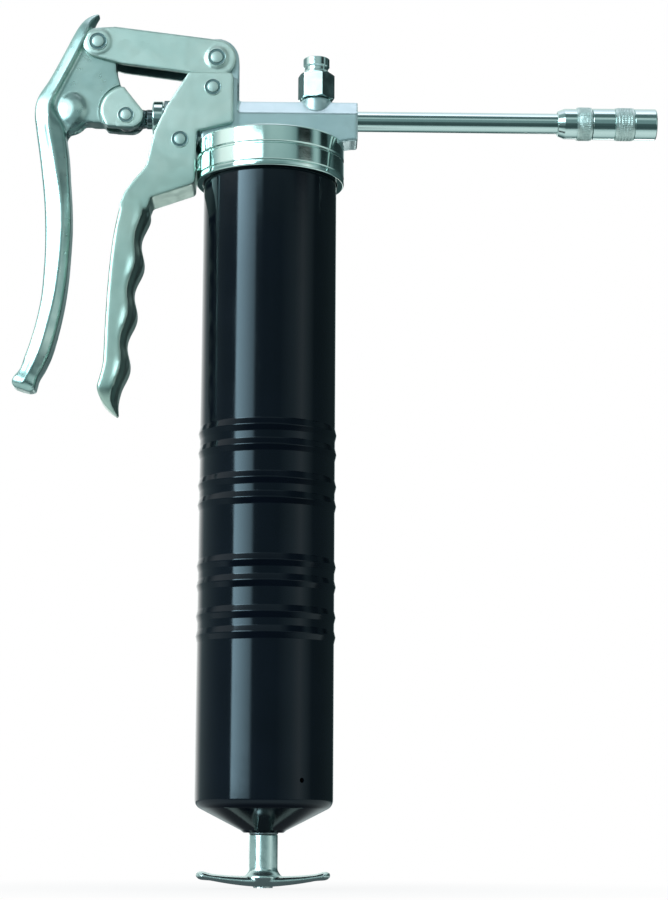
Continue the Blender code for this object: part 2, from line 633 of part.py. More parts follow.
def jaw(name, middle_angle):
    """One of the three gripping jaws: a sector of a ring, drawn out along X."""
    curve = bpy.data.curves.new(name, "CURVE")
    curve.dimensions = "2D"
    curve.fill_mode = "BOTH"
    curve.extrude = 4.0 * MM
    outline = (arc((0.0, 0.0), 4.8, middle_angle - 52.0, middle_angle + 52.0, 7)
               + arc((0.0, 0.0), 3.4, middle_angle + 48.0, middle_angle - 48.0, 6))
    spline = curve.splines.new("POLY")
    spline.points.add(len(outline) - 1)
    for point, (u, v) in zip(spline.points, outline):
        point.co = (u * MM, v * MM, 0.0, 1.0)
    spline.use_cyclic_u = True
    obj = bpy.data.objects.new(name, curve)
    obj.rotation_euler = (0.0, math.pi / 2.0, 0.0)
    obj.location = (162.6 * MM, 0.0, AXIS_Z * MM)
    return place(obj, "dark_steel")


for i in range(3):
    jaw("coupler_jaw_%d" % (i + 1), 120.0 * i)

# ---- filler and bleed valve ------------------------------------------------------------------------
hex_r = VALVE_HEX_FLATS / math.sqrt(3.0)
valve = cylinder("filler_valve", hex_r, VALVE_HEX[0], VALVE_HEX[1], at=(VALVE_X, 0.0, 0.0),
                 finish="turned", segments=6, turn=18.7)
chamfer = turned("hex_chamfer_cutter", [
    (0.0, VALVE_HEX[1]), (7.1, VALVE_HEX[1]), (hex_r + 0.3, VALVE_HEX[1] - 0.9),
    (hex_r + 0.3, VALVE_HEX[0] + 0.9), (7.1, VALVE_HEX[0]), (0.0, VALVE_HEX[0])],
    at=(VALVE_X, 0.0, 0.0), cutter=True)
boolean(valve, chamfer, "INTERSECT")
join(valve, turned("valve_neck_union", [
    (0.0, VALVE_TOP), (VALVE_NECK_R - 0.3, VALVE_TOP), (VALVE_NECK_R, VALVE_TOP - 0.3),
    (VALVE_NECK_R, VALVE_TOP - 2.0), (VALVE_NECK_R - 0.6, VALVE_TOP - 2.4),
    (VALVE_NECK_R - 0.6, VALVE_HEX[1] + 1.2), (VALVE_NECK_R, VALVE_HEX[1] + 0.6),
    (VALVE_NECK_R, VALVE_HEX[1] - 2.0), (4.0, VALVE_HEX[1] - 2.0), (4.0, 331.8), (0.0, 331.8)],
    at=(VALVE_X, 0.0, 0.0), cutter=True))
cut(valve,
    cylinder("valve_bore_cutter", 2.3, 330.0, 345.0, at=(VALVE_X, 0.0, 0.0), cutter=True, segments=16),
    cylinder("valve_counterbore_cutter", 3.5, 343.0, VALVE_TOP + 2.0, at=(VALVE_X, 0.0, 0.0),
             cutter=True, segments=20))
turned("vent_button", [
    (0.0, VALVE_TOP - 0.7), (2.4, VALVE_TOP - 0.9), (3.1, VALVE_TOP - 1.5), (3.1, VALVE_TOP - 2.8),
    (1.6, VALVE_TOP - 2.8), (1.6, 338.4), (0.0, 337.4)], "dark_steel", at=(VALVE_X, 0.0, 0.0))
coil("vent_spring", 2.55, 0.3, 343.5, VALVE_TOP - 3.3, 4, at=(VALVE_X, 0.0, 0.0), per_turn=8)

# ---- follower rod, piston and pull handle ------------------------------------------------------------
turned("follower_rod", [
    (0.0, ROD_TOP), (ROD_R - 0.6, ROD_TOP), (ROD_R, ROD_TOP - 0.6), (ROD_R, 0.0), (0.0, 0.0)], "steel")


def bow(x):
    """Height of the pull handle's centre line."""
    return 2.9 + 2.0 * (x / HANDLE_HALF) ** 2


handle_stations = []
for i in range(13):
    x = -HANDLE_HALF + 2.0 * HANDLE_HALF * i / 12.0
    near_end = 1.0 - abs(x) / HANDLE_HALF
    thick = 2.2 * min(1.0, 0.45 + 4.0 * near_end)
    deep = (5.2 + 1.6 * near_end) * min(1.0, 0.6 + 3.0 * near_end)
    slope = math.degrees(math.atan(2.0 * 2.0 * x / HANDLE_HALF ** 2))
    handle_stations.append((x, bow(x), 90.0 + slope, thick, deep))
handle = loft("pull_handle", handle_stations, "turned", squareness=3.0, around=12)
join(handle, turned("handle_stem_union", [
    (0.0, CONE_BOTTOM - 1.1), (STEM_R - 0.4, CONE_BOTTOM - 1.1), (STEM_R, CONE_BOTTOM - 1.5),
    (STEM_R, 9.4), (STEM_R + 0.6, 7.4), (STEM_R + 2.0, 5.8), (STEM_R + 2.4, 2.0), (5.4, 0.5),
    (0.0, 0.5)],
    cutter=True))
cut(handle, cylinder("handle_bore_cutter", ROD_R + 0.2, -5.0, 30.0, cutter=True))

piston_floor = SPRING_TOP + SPRING_WIRE + 0.4
turned("piston_plate", [
    (24.8, piston_floor + 1.6), (24.8, piston_floor), (ROD_R + 0.2, piston_floor),
    (ROD_R + 0.2, piston_floor + 1.6)], "steel", closed=True, segments=32)
cup_floor = piston_floor + 1.9
turned("piston_cup", [
    (25.2, cup_floor + 9.0), (27.0, cup_floor + 8.6), (26.6, cup_floor + 0.6), (26.0, cup_floor),
    (ROD_R + 0.2, cup_floor), (ROD_R + 0.2, cup_floor + 2.4), (22.6, cup_floor + 2.4)],
    "rubber", closed=True, segments=32)
turned("piston_washer", [
    (17.0, cup_floor + 4.4), (17.0, cup_floor + 2.7), (ROD_R + 0.2, cup_floor + 2.7),
    (ROD_R + 0.2, cup_floor + 4.4)], "steel", closed=True)
rod_nut = cylinder("rod_nut", 13.0 / math.sqrt(3.0), cup_floor + 4.7, cup_floor + 11.2, segments=6)
cut(rod_nut, cylinder("rod_nut_cutter", ROD_R + 0.2, cup_floor, cup_floor + 20.0, cutter=True))
coil("follower_spring", SPRING_R, SPRING_WIRE, SPRING_BOTTOM, SPRING_TOP, SPRING_TURNS)
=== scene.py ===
import math

import bmesh
import bpy
from mathutils import Matrix, Quaternion, Vector


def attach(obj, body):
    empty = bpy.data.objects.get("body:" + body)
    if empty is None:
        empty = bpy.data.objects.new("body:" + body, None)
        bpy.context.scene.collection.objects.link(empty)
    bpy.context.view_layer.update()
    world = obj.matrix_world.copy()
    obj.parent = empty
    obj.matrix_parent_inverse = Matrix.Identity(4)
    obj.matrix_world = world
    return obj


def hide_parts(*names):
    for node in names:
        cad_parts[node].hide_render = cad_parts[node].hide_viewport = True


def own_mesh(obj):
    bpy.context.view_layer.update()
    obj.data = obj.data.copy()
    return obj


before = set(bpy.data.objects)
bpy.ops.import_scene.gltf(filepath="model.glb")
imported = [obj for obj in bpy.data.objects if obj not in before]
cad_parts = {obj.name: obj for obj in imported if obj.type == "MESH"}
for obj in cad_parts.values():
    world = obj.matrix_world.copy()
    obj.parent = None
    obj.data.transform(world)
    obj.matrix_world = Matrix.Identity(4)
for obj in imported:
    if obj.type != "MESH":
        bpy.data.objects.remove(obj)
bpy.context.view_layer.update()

# The looks of a one-hand grease gun.  The axes are the frame's: the barrel stands on +Z, the delivery
# tube lies along +X and the grip is on the -X side.  Lengths are in millimetres, and MM makes metres.
MM = 0.001

# ---- dimensions --------------------------------------------------------------------------------
BARREL_R = 28.5
BARREL_WALL = 1.2
BARREL_TOP = 309.0
BARREL_BOTTOM = 33.0
CONE_BOTTOM = 22.2
CONE_SLOPE = 0.466
COLLAR_R = 9.4                # where the cone meets its short collar
BEAD_HEIGHT = 0.6
BEAD_HALF_WIDTH = 3.0
BEAD_SHAPE = ((1.0, 0.0), (0.90, 0.02), (0.80, 0.10), (0.12, 0.90), (0.05, 0.985), (0.0, 1.0),
              (-0.05, 0.985), (-0.12, 0.90), (-0.80, 0.10), (-0.90, 0.02), (-1.0, 0.0))
BEAD_PAIR_CENTRES = (183.5, 161.5, 127.5, 106.5)
BEAD_PAIR_PITCH = 8.3
VENT_HOLE_Z = 43.0
VENT_HOLE_ANGLE = 33.0
VENT_HOLE_R = 0.9

SKIRT_R = 31.75
SKIRT_BOTTOM = 297.0
SKIRT_TOP = 315.0
AXIS_Z = 326.3
PUMP_R = 7.9
PUMP_LEFT = -46.2
PUMP_RIGHT = 37.5
PLUNGER_R = 4.25

PIN_A = (-23.5, 352.2)
PIN_B = (-74.9, 358.8)
PIN_C = (-62.3, AXIS_Z)
PIN_R = 3.0
RIVET_UPPER = (-24.9, 337.9)
RIVET_LOWER = (-38.7, 314.5)
RIVET_R = 2.5
LINK_HALF = 7.0
LOBE_HALF = 6.0
YOKE_HALF = 10.0
CHEEK = 2.1

CHEEK_AT = (-88.0, 329.0)     # the raised cheek where the web meets the palm bar
CHEEK_TILT = 16.0
PAD_AT = (-62.4, 328.6)       # the flat pad round the plunger's pin
PAD_R = 10.7
ARCH_AT = (-78.7, 313.4)      # the hollow under the web, for the web of the hand
ARCH_R = 10.2
FOOT_AT = (-60.6, 326.6)      # the round bottom of the lobe
FOOT_R = 5.8
LOBE_RIGHT = (-54.7, 328.2)

GRIP_TOP = 291.0
GRIP_TAIL = 207.0             # the tail curls away below this height
GRIP_BOTTOM = 193.8
GRIP_HALF = 10.8
FINGER_PITCH = 22.3
FINGER_CREST = 260.5

ROD_R = 4.0
STEM_R = 5.9
HANDLE_HALF = 27.4
HANDLE_BOW = 2.7
SPRING_R = 20.0
SPRING_WIRE = 1.1
SPRING_ENDS = (31.5, 271.0)
SPRING_TURNS = 10
VENT_SPRING_R = 2.55
VENT_SPRING_WIRE = 0.3
VENT_SPRING_BOTTOM = 343.5
VENT_SPRING_TURNS = 5

VALVE_X = 19.6
VALVE_FLATS = 14.0
VALVE_HEX = (335.7, 346.9)
VALVE_TOP = 354.2
VALVE_NECK_R = 5.7
VALVE_TURN = -11.3            # the hexagon's first corner, in degrees from +X
BUTTON_R = 3.05
TUBE_R = 4.4
TUBE_BORE_R = 2.0
TUBE_ENDS = (30.4, 128.6)
COUPLER_ENDS = (124.2, 167.1)
COUPLER_R = 6.75
REAR_KNURL = (132.6, 138.9)
FRONT_KNURL = (149.3, 157.2)
BAND_R = 7.25
KNURL_TEETH = 54
KNURL_DEPTH = 0.20

GAP = 0.3
ORIGIN = (0.0, 0.0, 0.0)
PUMP_AXIS = (0.0, 0.0, AXIS_Z)
VALVE_AXIS = (VALVE_X, 0.0, 0.0)
ROUND = 96                    # sides of a turned piece
FINE_ROUND = 160              # sides of the barrel and the skirt
SMOOTH_BELOW = 32.0           # edges that turn by more degrees than this stay sharp
FLOOR_R = 600.0
FLOOR_Z = -0.4

# ---- camera ------------------------------------------------------------------------------------
CAMERA_TARGET = (28.1, 0.0, 181.8)
CAMERA_DISTANCE = 950.6
CAMERA_AZIMUTH = -1.0
CAMERA_ELEVATION = -9.86
CAMERA_ROLL = 0.3
CAMERA_LENS = 90.0


def add_camera():
    data = bpy.data.cameras.new("camera")
    data.lens = CAMERA_LENS
    data.sensor_width = 36.0
    data.clip_start = 0.05
    data.clip_end = 20.0
    camera = bpy.data.objects.new("camera", data)
    bpy.context.scene.collection.objects.link(camera)
    a, e = math.radians(CAMERA_AZIMUTH), math.radians(CAMERA_ELEVATION)
    back = Vector((math.sin(a) * math.cos(e), -math.cos(a) * math.cos(e), math.sin(e)))
    camera.location = (Vector(CAMERA_TARGET) + back * CAMERA_DISTANCE) * MM
    roll = Quaternion((0.0, 0.0, 1.0), math.radians(CAMERA_ROLL))
    camera.rotation_mode = "QUATERNION"
    camera.rotation_quaternion = (-back).to_track_quat("-Z", "Y") @ roll
    bpy.context.scene.camera = camera


# ---- light -------------------------------------------------------------------------------------
def node(tree, kind, **settings):
    """A shader node.  Settings named in_X fill the input X, and the others are its attributes."""
    made = tree.nodes.new(kind)
    for key, value in settings.items():
        if key.startswith("in_"):
            made.inputs[key[3:].replace("_", " ")].default_value = value
        else:
            setattr(made, key, value)
    return made


def feed(tree, socket, value):
    """Link a socket to another node's, or give it a number or a colour."""
    if isinstance(value, bpy.types.NodeSocket):
        tree.links.new(value, socket)
    elif isinstance(value, tuple):
        socket.default_value = (*value, 1.0)
    elif value is not None:
        socket.default_value = value


def math_node(tree, operation, first, second=None):
    made = node(tree, "ShaderNodeMath", operation=operation)
    for socket, value in zip(made.inputs, (first, second)):
        feed(tree, socket, value)
    return made.outputs[0]


def spread(tree, value, low, high, to_low=0.0, to_high=1.0, smooth=True):
    """Value mapped from one range to another, clamped at its ends."""
    made = node(tree, "ShaderNodeMapRange", in_From_Min=low, in_From_Max=high, in_To_Min=to_low,
                in_To_Max=to_high, interpolation_type="SMOOTHSTEP" if smooth else "LINEAR")
    tree.links.new(value, made.inputs["Value"])
    return made.outputs["Result"]


def ramp(tree, value, stops, ease="EASE"):
    """A colour ramp.  Stops are (place, (r, g, b))."""
    made = tree.nodes.new("ShaderNodeValToRGB")
    made.color_ramp.interpolation = ease
    elements = made.color_ramp.elements
    elements[0].position, elements[0].color = stops[0][0], (*stops[0][1], 1.0)
    elements[1].position, elements[1].color = stops[-1][0], (*stops[-1][1], 1.0)
    for place, colour in stops[1:-1]:
        elements.new(place).color = (*colour, 1.0)
    tree.links.new(value, made.inputs["Fac"])
    return made.outputs["Color"]


def mix(tree, factor, first, second, blend="MIX"):
    made = node(tree, "ShaderNodeMix", data_type="RGBA", blend_type=blend)
    factor_in, first_in, second_in = (made.inputs[index] for index in (0, 6, 7))
    for socket, value in ((factor_in, factor), (first_in, first), (second_in, second)):
        feed(tree, socket, value)
    return made.outputs[2]


def either(tree, factor, first, second):
    """One shader where the factor is 0, another where it is 1."""
    made = tree.nodes.new("ShaderNodeMixShader")
    for socket, value in zip(made.inputs, (factor, first, second)):
        tree.links.new(value, socket)
    return made.outputs[0]


def axes_of(tree, place):
    split = tree.nodes.new("ShaderNodeSeparateXYZ")
    tree.links.new(place, split.inputs[0])
    return split.outputs


def own_place(tree):
    return tree.nodes.new("ShaderNodeTexCoord").outputs["Object"]


def from_camera(tree):
    return tree.nodes.new("ShaderNodeLightPath").outputs["Is Camera Ray"]


def shade_of(level):
    """The colour of a screen in the studio: near white when bright, teal when dark."""
    lift = min(1.0, level)
    return (level * (0.56 + 0.41 * lift), level, level * (1.04 - 0.05 * lift))


def add_world():
    """A studio around the object: bright on the left, a soft front, dark and light screens on the
    right, a dark gap overhead, and one tall soft light at the left front."""
    world = bpy.data.worlds.new("studio")
    bpy.context.scene.world = world
    world.use_nodes = True
    tree = world.node_tree
    tree.nodes.clear()
    x, y, z = axes_of(tree, tree.nodes.new("ShaderNodeTexCoord").outputs["Generated"])
    front = math_node(tree, "MULTIPLY", y, -1.0)
    compass = math_node(tree, "DEGREES", math_node(tree, "ARCTAN2", x, front))
    height = math_node(tree, "DEGREES", math_node(tree, "ARCSINE", z))
    round_way = spread(tree, compass, -180.0, 180.0, smooth=False)

    def screens(stops):
        return ramp(tree, round_way, [((angle + 180.0) / 360.0, shade_of(level))
                                      for angle, level in stops], "LINEAR")

    under = screens([(-180, 0.05), (-165, 0.05), (-150, 0.12), (-120, 0.60), (-70, 0.60), (-30, 0.10),
                     (60, 0.08), (90, 0.07), (160, 0.05), (167, 0.06), (168, 2.4), (172, 2.4),
                     (173, 0.06), (180, 0.05)])
    low = screens([
        (-180, 0.90), (-165, 1.5), (-148, 1.3), (-132, 0.50), (-100, 0.42), (-80, 0.34), (-20, 0.36),
        (-10, 0.28), (20, 0.26), (45, 0.60), (60, 0.95), (72, 0.60), (85, 0.20), (100, 0.16),
        (130, 0.10), (150, 0.05), (166, 0.05), (168, 0.60), (172, 0.60), (175, 0.20), (180, 0.90)])
    round_about = screens([
        (-180, 0.60), (-150, 0.50), (-143, 0.12), (-135, 0.14), (-127, 0.62), (-117, 0.20),
        (-106, 0.26), (-95, 0.56), (-82, 1.05), (-63, 1.25), (-20, 0.56), (-10, 0.42), (2, 0.52),
        (18, 0.50), (32, 0.40), (40, 0.28), (44, 0.08), (47, 0.01), (64, 0.01), (68, 0.12),
        (73, 0.42), (78, 0.50), (83, 0.28), (87, 0.02), (99, 0.02), (103, 0.12), (110, 0.14),
        (119, 0.03), (138, 0.03), (158, 0.08), (168, 0.60), (180, 0.60)])
    middle = screens([(-180, 1.1), (-60, 1.0), (-20, 0.70), (25, 0.62), (44, 0.12), (66, 0.10),
                      (76, 0.35), (90, 0.15), (130, 0.15), (160, 0.8), (180, 1.1)])
    above = screens([(-180, 0.9), (-110, 0.8), (-60, 0.45), (-20, 0.15), (50, 0.15), (100, 0.5),
                     (180, 0.9)])
    top = screens([(-180, 0.85), (-90, 1.0), (0, 1.7), (90, 1.1), (180, 0.85)])
    top = mix(tree, 1.0, top, (1.0, 0.97, 1.10), "MULTIPLY")
    colour = under
    for start, end, screen in ((-14.0, -7.0, low), (16.3, 17.0, round_about), (20.0, 26.0, middle),
                               (29.0, 36.0, above), (60.0, 72.0, top)):
        colour = mix(tree, spread(tree, height, start, end), colour, screen)

    # The tall light fades from left to right.  Its right edge steps out, then in, as it goes up.
    wider = math_node(tree, "MULTIPLY", spread(tree, height, 16.3, 17.0, 0.0, -11.0),
                      spread(tree, height, 18.1, 18.4, 1.0, 0.0))
    narrower = math_node(tree, "MULTIPLY", spread(tree, height, 18.3, 18.6, 0.0, 15.0),
                         spread(tree, height, 20.6, 21.5, 1.0, 0.0))
    step = math_node(tree, "ADD", wider, narrower)
    left_edge = spread(tree, compass, -58.0, -55.0)
    right_edge = spread(tree, math_node(tree, "ADD", compass, step), -26.0, -20.0, 1.0, 0.0)
    bottom_edge = spread(tree, height, 0.1, 0.9)
    top_edge = spread(tree, height, 24.5, 29.0, 1.0, 0.0)
    across_gain = spread(tree, compass, -54.0, -24.0, 10.5, 3.0, False)
    upper_gain = spread(tree, height, 14.5, 16.5, 1.0, 1.35)
    panel = left_edge
    for part in (right_edge, bottom_edge, top_edge, across_gain, upper_gain):
        panel = math_node(tree, "MULTIPLY", panel, part)
    glow = node(tree, "ShaderNodeBackground", in_Color=(0.72, 0.90, 1.0, 1.0))
    tree.links.new(panel, glow.inputs["Strength"])
    room = tree.nodes.new("ShaderNodeBackground")
    tree.links.new(colour, room.inputs["Color"])
    both = tree.nodes.new("ShaderNodeAddShader")
    tree.links.new(glow.outputs[0], both.inputs[0])
    tree.links.new(room.outputs[0], both.inputs[1])
    plain = node(tree, "ShaderNodeBackground", in_Color=(1.0, 1.0, 1.0, 1.0))
    chosen = either(tree, from_camera(tree), both.outputs[0], plain.outputs[0])
    tree.links.new(chosen, tree.nodes.new("ShaderNodeOutputWorld").inputs["Surface"])
    bpy.context.scene.view_settings.view_transform = "Standard"


def add_floor():
    """A pale round floor that fades to the plain white around it, and lets a view from below through.
    The object's own reflections see it shaded in front and lit behind."""
    bm = bmesh.new()
    rim = [Vector((FLOOR_R * math.cos(a), FLOOR_R * math.sin(a), FLOOR_Z)) * MM
           for a in (2.0 * math.pi * k / ROUND for k in range(ROUND))]
    bm.faces.new([bm.verts.new(point) for point in rim])
    mesh = bpy.data.meshes.new("floor")
    bm.to_mesh(mesh)
    bm.free()
    floor = bpy.data.objects.new("floor", mesh)
    bpy.context.scene.collection.objects.link(floor)
    mat, tree, shader = blank("floor")
    shader.inputs["Base Color"].default_value = (0.82, 0.82, 0.82, 1.0)
    shader.inputs["Roughness"].default_value = 0.9
    shader.inputs["Specular IOR Level"].default_value = 0.0
    place = own_place(tree)
    length = node(tree, "ShaderNodeVectorMath", operation="LENGTH")
    tree.links.new(place, length.inputs[0])
    out = length.outputs["Value"]
    glow = node(tree, "ShaderNodeEmission", in_Color=(1.0, 1.0, 1.0, 1.0))
    pale = either(tree, spread(tree, out, 0.0, 0.26, 0.86, 1.0), shader.outputs[0], glow.outputs[0])
    depth = spread(tree, axes_of(tree, place)[1], -FLOOR_R * MM, FLOOR_R * MM, smooth=False)
    tone = ramp(tree, depth, [(0.0, shade_of(0.06)), (0.28, shade_of(0.09)), (0.34, shade_of(0.60)),
                              (0.44, shade_of(0.80)), (0.60, shade_of(0.72)), (0.78, shade_of(0.20)),
                              (1.0, shade_of(0.10))], "LINEAR")
    shadow = spread(tree, out, 0.03, 0.08, 0.12, 1.0)
    tone = mix(tree, shadow, (0.01, 0.02, 0.03), tone)
    mirrored = tree.nodes.new("ShaderNodeEmission")
    tree.links.new(tone, mirrored.inputs["Color"])
    upper = either(tree, from_camera(tree), mirrored.outputs[0], pale)
    underneath = tree.nodes.new("ShaderNodeNewGeometry").outputs["Backfacing"]
    clear = tree.nodes.new("ShaderNodeBsdfTransparent").outputs[0]
    tree.links.new(either(tree, underneath, upper, clear),
                   tree.nodes["Material Output"].inputs["Surface"])
    mesh.materials.append(mat)


# ---- materials ---------------------------------------------------------------------------------
def noise(tree, scale, detail=3.0, stretch=(1.0, 1.0, 1.0), distortion=0.0):
    """Noise in the object's own metres: scale is the number of cells in a metre."""
    mapping = node(tree, "ShaderNodeMapping", in_Scale=stretch)
    tree.links.new(own_place(tree), mapping.inputs["Vector"])
    made = node(tree, "ShaderNodeTexNoise", in_Scale=scale, in_Detail=detail,
                in_Distortion=distortion)
    tree.links.new(mapping.outputs[0], made.inputs["Vector"])
    return made.outputs["Fac"]


def edges(tree, low, high):
    """1 on outer edges and corners, 0 on flats: where handling wears the finish."""
    sharpness = tree.nodes.new("ShaderNodeNewGeometry").outputs["Pointiness"]
    return spread(tree, sharpness, low, high)


def blank(name):
    mat = bpy.data.materials.new(name)
    mat.use_nodes = True
    return mat, mat.node_tree, mat.node_tree.nodes["Principled BSDF"]


def bump(tree, shader, heights):
    """Stack bumps of (height socket, depth in millimetres) on the shader's normal."""
    below = None
    for height, depth in heights:
        made = node(tree, "ShaderNodeBump", in_Strength=1.0, in_Distance=depth * MM)
        tree.links.new(height, made.inputs["Height"])
        if below is not None:
            tree.links.new(below, made.inputs["Normal"])
        below = made.outputs["Normal"]
    tree.links.new(below, shader.inputs["Normal"])


def metal(name, light, dark, rough, grain=0.02, grain_scale=900.0, lines=None, lines_depth=0.004,
          worn=(0.90, 0.98, 0.95), darker_below=None):
    """A bright metal with a cloudy tint, uneven polish, fine grain and rubbed edges.  rough is the
    range of roughness; lines is the stretch of the tool marks left by turning or drawing; darker_below
    is the range of heights over which the tint goes from darker below to its plain colour above."""
    mat, tree, shader = blank(name)
    shader.inputs["Metallic"].default_value = 1.0
    cloud = spread(tree, noise(tree, 45.0, 5.0, distortion=0.7), 0.25, 0.75)
    tint = mix(tree, cloud, dark, light)
    stain = spread(tree, noise(tree, 160.0, 4.0, distortion=0.4), 0.60, 0.80, 0.0, 0.30)
    tint = mix(tree, stain, tint, dark)
    tint = mix(tree, edges(tree, 0.53, 0.62), tint, worn)
    if darker_below is not None:
        # Darker towards the bottom: below the lower height the tint is multiplied darker, and it fades to
        # the plain tint at the upper height.
        upper_share = spread(tree, axes_of(tree, own_place(tree))[2], darker_below[0] * MM, darker_below[1] * MM)
        lower_tint = mix(tree, 1.0, tint, (0.66, 0.72, 0.70), "MULTIPLY")
        tint = mix(tree, upper_share, lower_tint, tint)
    tree.links.new(tint, shader.inputs["Base Color"])
    polish = noise(tree, 240.0, 5.0, distortion=0.3)
    tree.links.new(spread(tree, polish, 0.3, 0.7, rough[0], rough[1]), shader.inputs["Roughness"])
    heights = [(noise(tree, grain_scale, 3.0), grain)]
    if lines is not None:
        heights.append((noise(tree, 1.0, 2.0, stretch=lines), lines_depth))
    bump(tree, shader, heights)
    return mat


def enamel(name):
    """Gloss black stoving enamel: a blue-black body, a slight orange peel, fine dust and hairlines."""
    mat, tree, shader = blank(name)
    depth = mix(tree, spread(tree, noise(tree, 40.0, 3.0), 0.3, 0.7), (0.0016, 0.0024, 0.0058),
                (0.0026, 0.0038, 0.0084))
    rubbed = mix(tree, edges(tree, 0.56, 0.66), depth, (0.014, 0.019, 0.025))
    tree.links.new(rubbed, shader.inputs["Base Color"])
    hairs = spread(tree, noise(tree, 1.0, 4.0, stretch=(900.0, 900.0, 60.0)), 0.62, 0.80, 0.0, 0.08)
    smear = spread(tree, noise(tree, 30.0, 4.0, distortion=0.8), 0.35, 0.75, 0.08, 0.14)
    tree.links.new(math_node(tree, "ADD", smear, hairs), shader.inputs["Roughness"])
    shader.inputs["Specular IOR Level"].default_value = 0.31
    shader.inputs["Specular Tint"].default_value = (0.72, 0.92, 1.0, 1.0)
    bump(tree, shader, [(noise(tree, 170.0, 2.0), 0.008), (noise(tree, 1500.0, 2.0), 0.0006)])
    return mat


def rubber(name):
    mat, tree, shader = blank(name)
    bloom = spread(tree, noise(tree, 220.0, 5.0), 0.4, 0.7)
    tree.links.new(mix(tree, bloom, (0.012, 0.012, 0.013), (0.030, 0.030, 0.031)),
                   shader.inputs["Base Color"])
    tree.links.new(spread(tree, bloom, 0.0, 1.0, 0.55, 0.85), shader.inputs["Roughness"])
    bump(tree, shader, [(noise(tree, 1800.0, 3.0), 0.02)])
    return mat


def make_materials():
    mint = (0.62, 0.80, 0.74)
    mint_dark = (0.38, 0.58, 0.55)
    return {
        "cast": metal("zinc_casting", mint, mint_dark, (0.27, 0.36), 0.012, 620.0),
        "satin": metal("satin_casting", (0.66, 0.82, 0.83), (0.60, 0.77, 0.78), (0.33, 0.40), 0.010,
                       700.0),
        "plate": metal("satin_plate", (0.84, 0.98, 0.89), (0.70, 0.89, 0.81), (0.33, 0.42), 0.010,
                       900.0, darker_below=(282.0, 326.0)),
        "skirt": metal("turned_skirt", (0.70, 0.88, 0.83), (0.65, 0.84, 0.79), (0.06, 0.09), 0.0008,
                       1400.0, (30.0, 30.0, 5200.0), 0.0015),
        "polish": metal("polished_steel", (0.70, 0.86, 0.83), (0.64, 0.81, 0.78), (0.10, 0.16),
                        0.003, 1500.0, (6000.0, 60.0, 60.0), 0.002),
        "knurl": metal("knurled_steel", (0.74, 0.88, 0.83), (0.62, 0.78, 0.74), (0.38, 0.48), 0.006,
                       1600.0),
        "bright": metal("bright_handle", (0.68, 0.84, 0.81), (0.60, 0.77, 0.74), (0.17, 0.27),
                        0.005, 800.0),
        "pin": metal("peened_pin", (0.82, 0.97, 0.90), (0.68, 0.87, 0.81), (0.30, 0.42), 0.008,
                     1300.0),
        "dark": metal("blued_steel", (0.20, 0.26, 0.27), (0.11, 0.15, 0.16), (0.22, 0.36), 0.006,
                      1200.0, (4000.0, 50.0, 50.0), 0.003, worn=(0.38, 0.43, 0.44)),
        # Painted shade: a dark tint for the hollow of the link's channel, the underside of the lever's
        # arch and the rivets' grooves, where shade falls.
        "painted_shade": metal("painted_shade_dark", (0.24, 0.36, 0.35), (0.13, 0.22, 0.22), (0.35, 0.55), 0.010,
                       1500.0, worn=(0.30, 0.42, 0.41)),
        "spring": metal("spring_steel", (0.34, 0.36, 0.36), (0.20, 0.21, 0.22), (0.28, 0.42), 0.006,
                        1500.0),
        "black": enamel("black_enamel"),
        "rubber": rubber("oiled_rubber"),
    }


# ---- mesh helpers ------------------------------------------------------------------------------
def to_object(name, bm):
    """An object from a draft in millimetres."""
    bmesh.ops.recalc_face_normals(bm, faces=bm.faces)
    bmesh.ops.scale(bm, vec=(MM, MM, MM), verts=bm.verts)
    mesh = bpy.data.meshes.new(name)
    bm.to_mesh(mesh)
    bm.free()
    obj = bpy.data.objects.new(name, mesh)
    bpy.context.scene.collection.objects.link(obj)
    return obj


def settle(obj):
    """Apply an object's modifiers."""
    bpy.context.view_layer.update()
    ready = obj.evaluated_get(bpy.context.evaluated_depsgraph_get())
    mesh = bpy.data.meshes.new_from_object(ready)
    mesh.name = obj.name
    obj.modifiers.clear()
    obj.data = mesh
    return obj


def dress(obj, finish, body, *nodes, turned=False):
    """Give a finished piece its material and its body, and hide the CAD nodes that it stands for.
    A turned piece has its smooth shading weighed by area, so that its long flats reflect straight."""
    obj.data.shade_smooth()
    obj.data.set_sharp_from_angle(angle=math.radians(SMOOTH_BELOW))
    if turned:
        weigh = obj.modifiers.new("true_flats", "WEIGHTED_NORMAL")
        weigh.keep_sharp = True
        settle(obj)
    obj.data.materials.clear()
    obj.data.materials.append(materials[finish])
    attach(obj, body)
    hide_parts(*nodes)


def combine(obj, other, operation):
    """Join, cut or clip a piece with another, which is used up."""
    boolean = obj.modifiers.new(operation.lower(), "BOOLEAN")
    boolean.operation = operation
    boolean.solver = "EXACT"
    boolean.object = other
    settle(obj)
    bpy.data.objects.remove(other, do_unlink=True)


def rounded(corners, steps=6):
    """A closed outline through corners (u, v, radius), each turned by an arc of that radius."""
    outline = []
    count = len(corners)
    for i, (u, v, radius) in enumerate(corners):
        here = Vector((u, v))
        before = Vector(corners[i - 1][:2]) - here
        after = Vector(corners[(i + 1) % count][:2]) - here
        if radius <= 0.0:
            outline.append((u, v))
            continue
        half = before.angle(after) / 2.0
        reach = min(radius / math.tan(half), 0.49 * before.length, 0.49 * after.length)
        true_radius = reach * math.tan(half)
        middle = (before.normalized() + after.normalized()).normalized()
        centre = here + middle * (true_radius / math.sin(half))
        start = here + before.normalized() * reach - centre
        end = here + after.normalized() * reach - centre
        turn = start.angle_signed(end)
        for k in range(steps + 1):
            a = -turn * k / steps
            outline.append((centre.x + start.x * math.cos(a) - start.y * math.sin(a),
                            centre.y + start.x * math.sin(a) + start.y * math.cos(a)))
    return outline


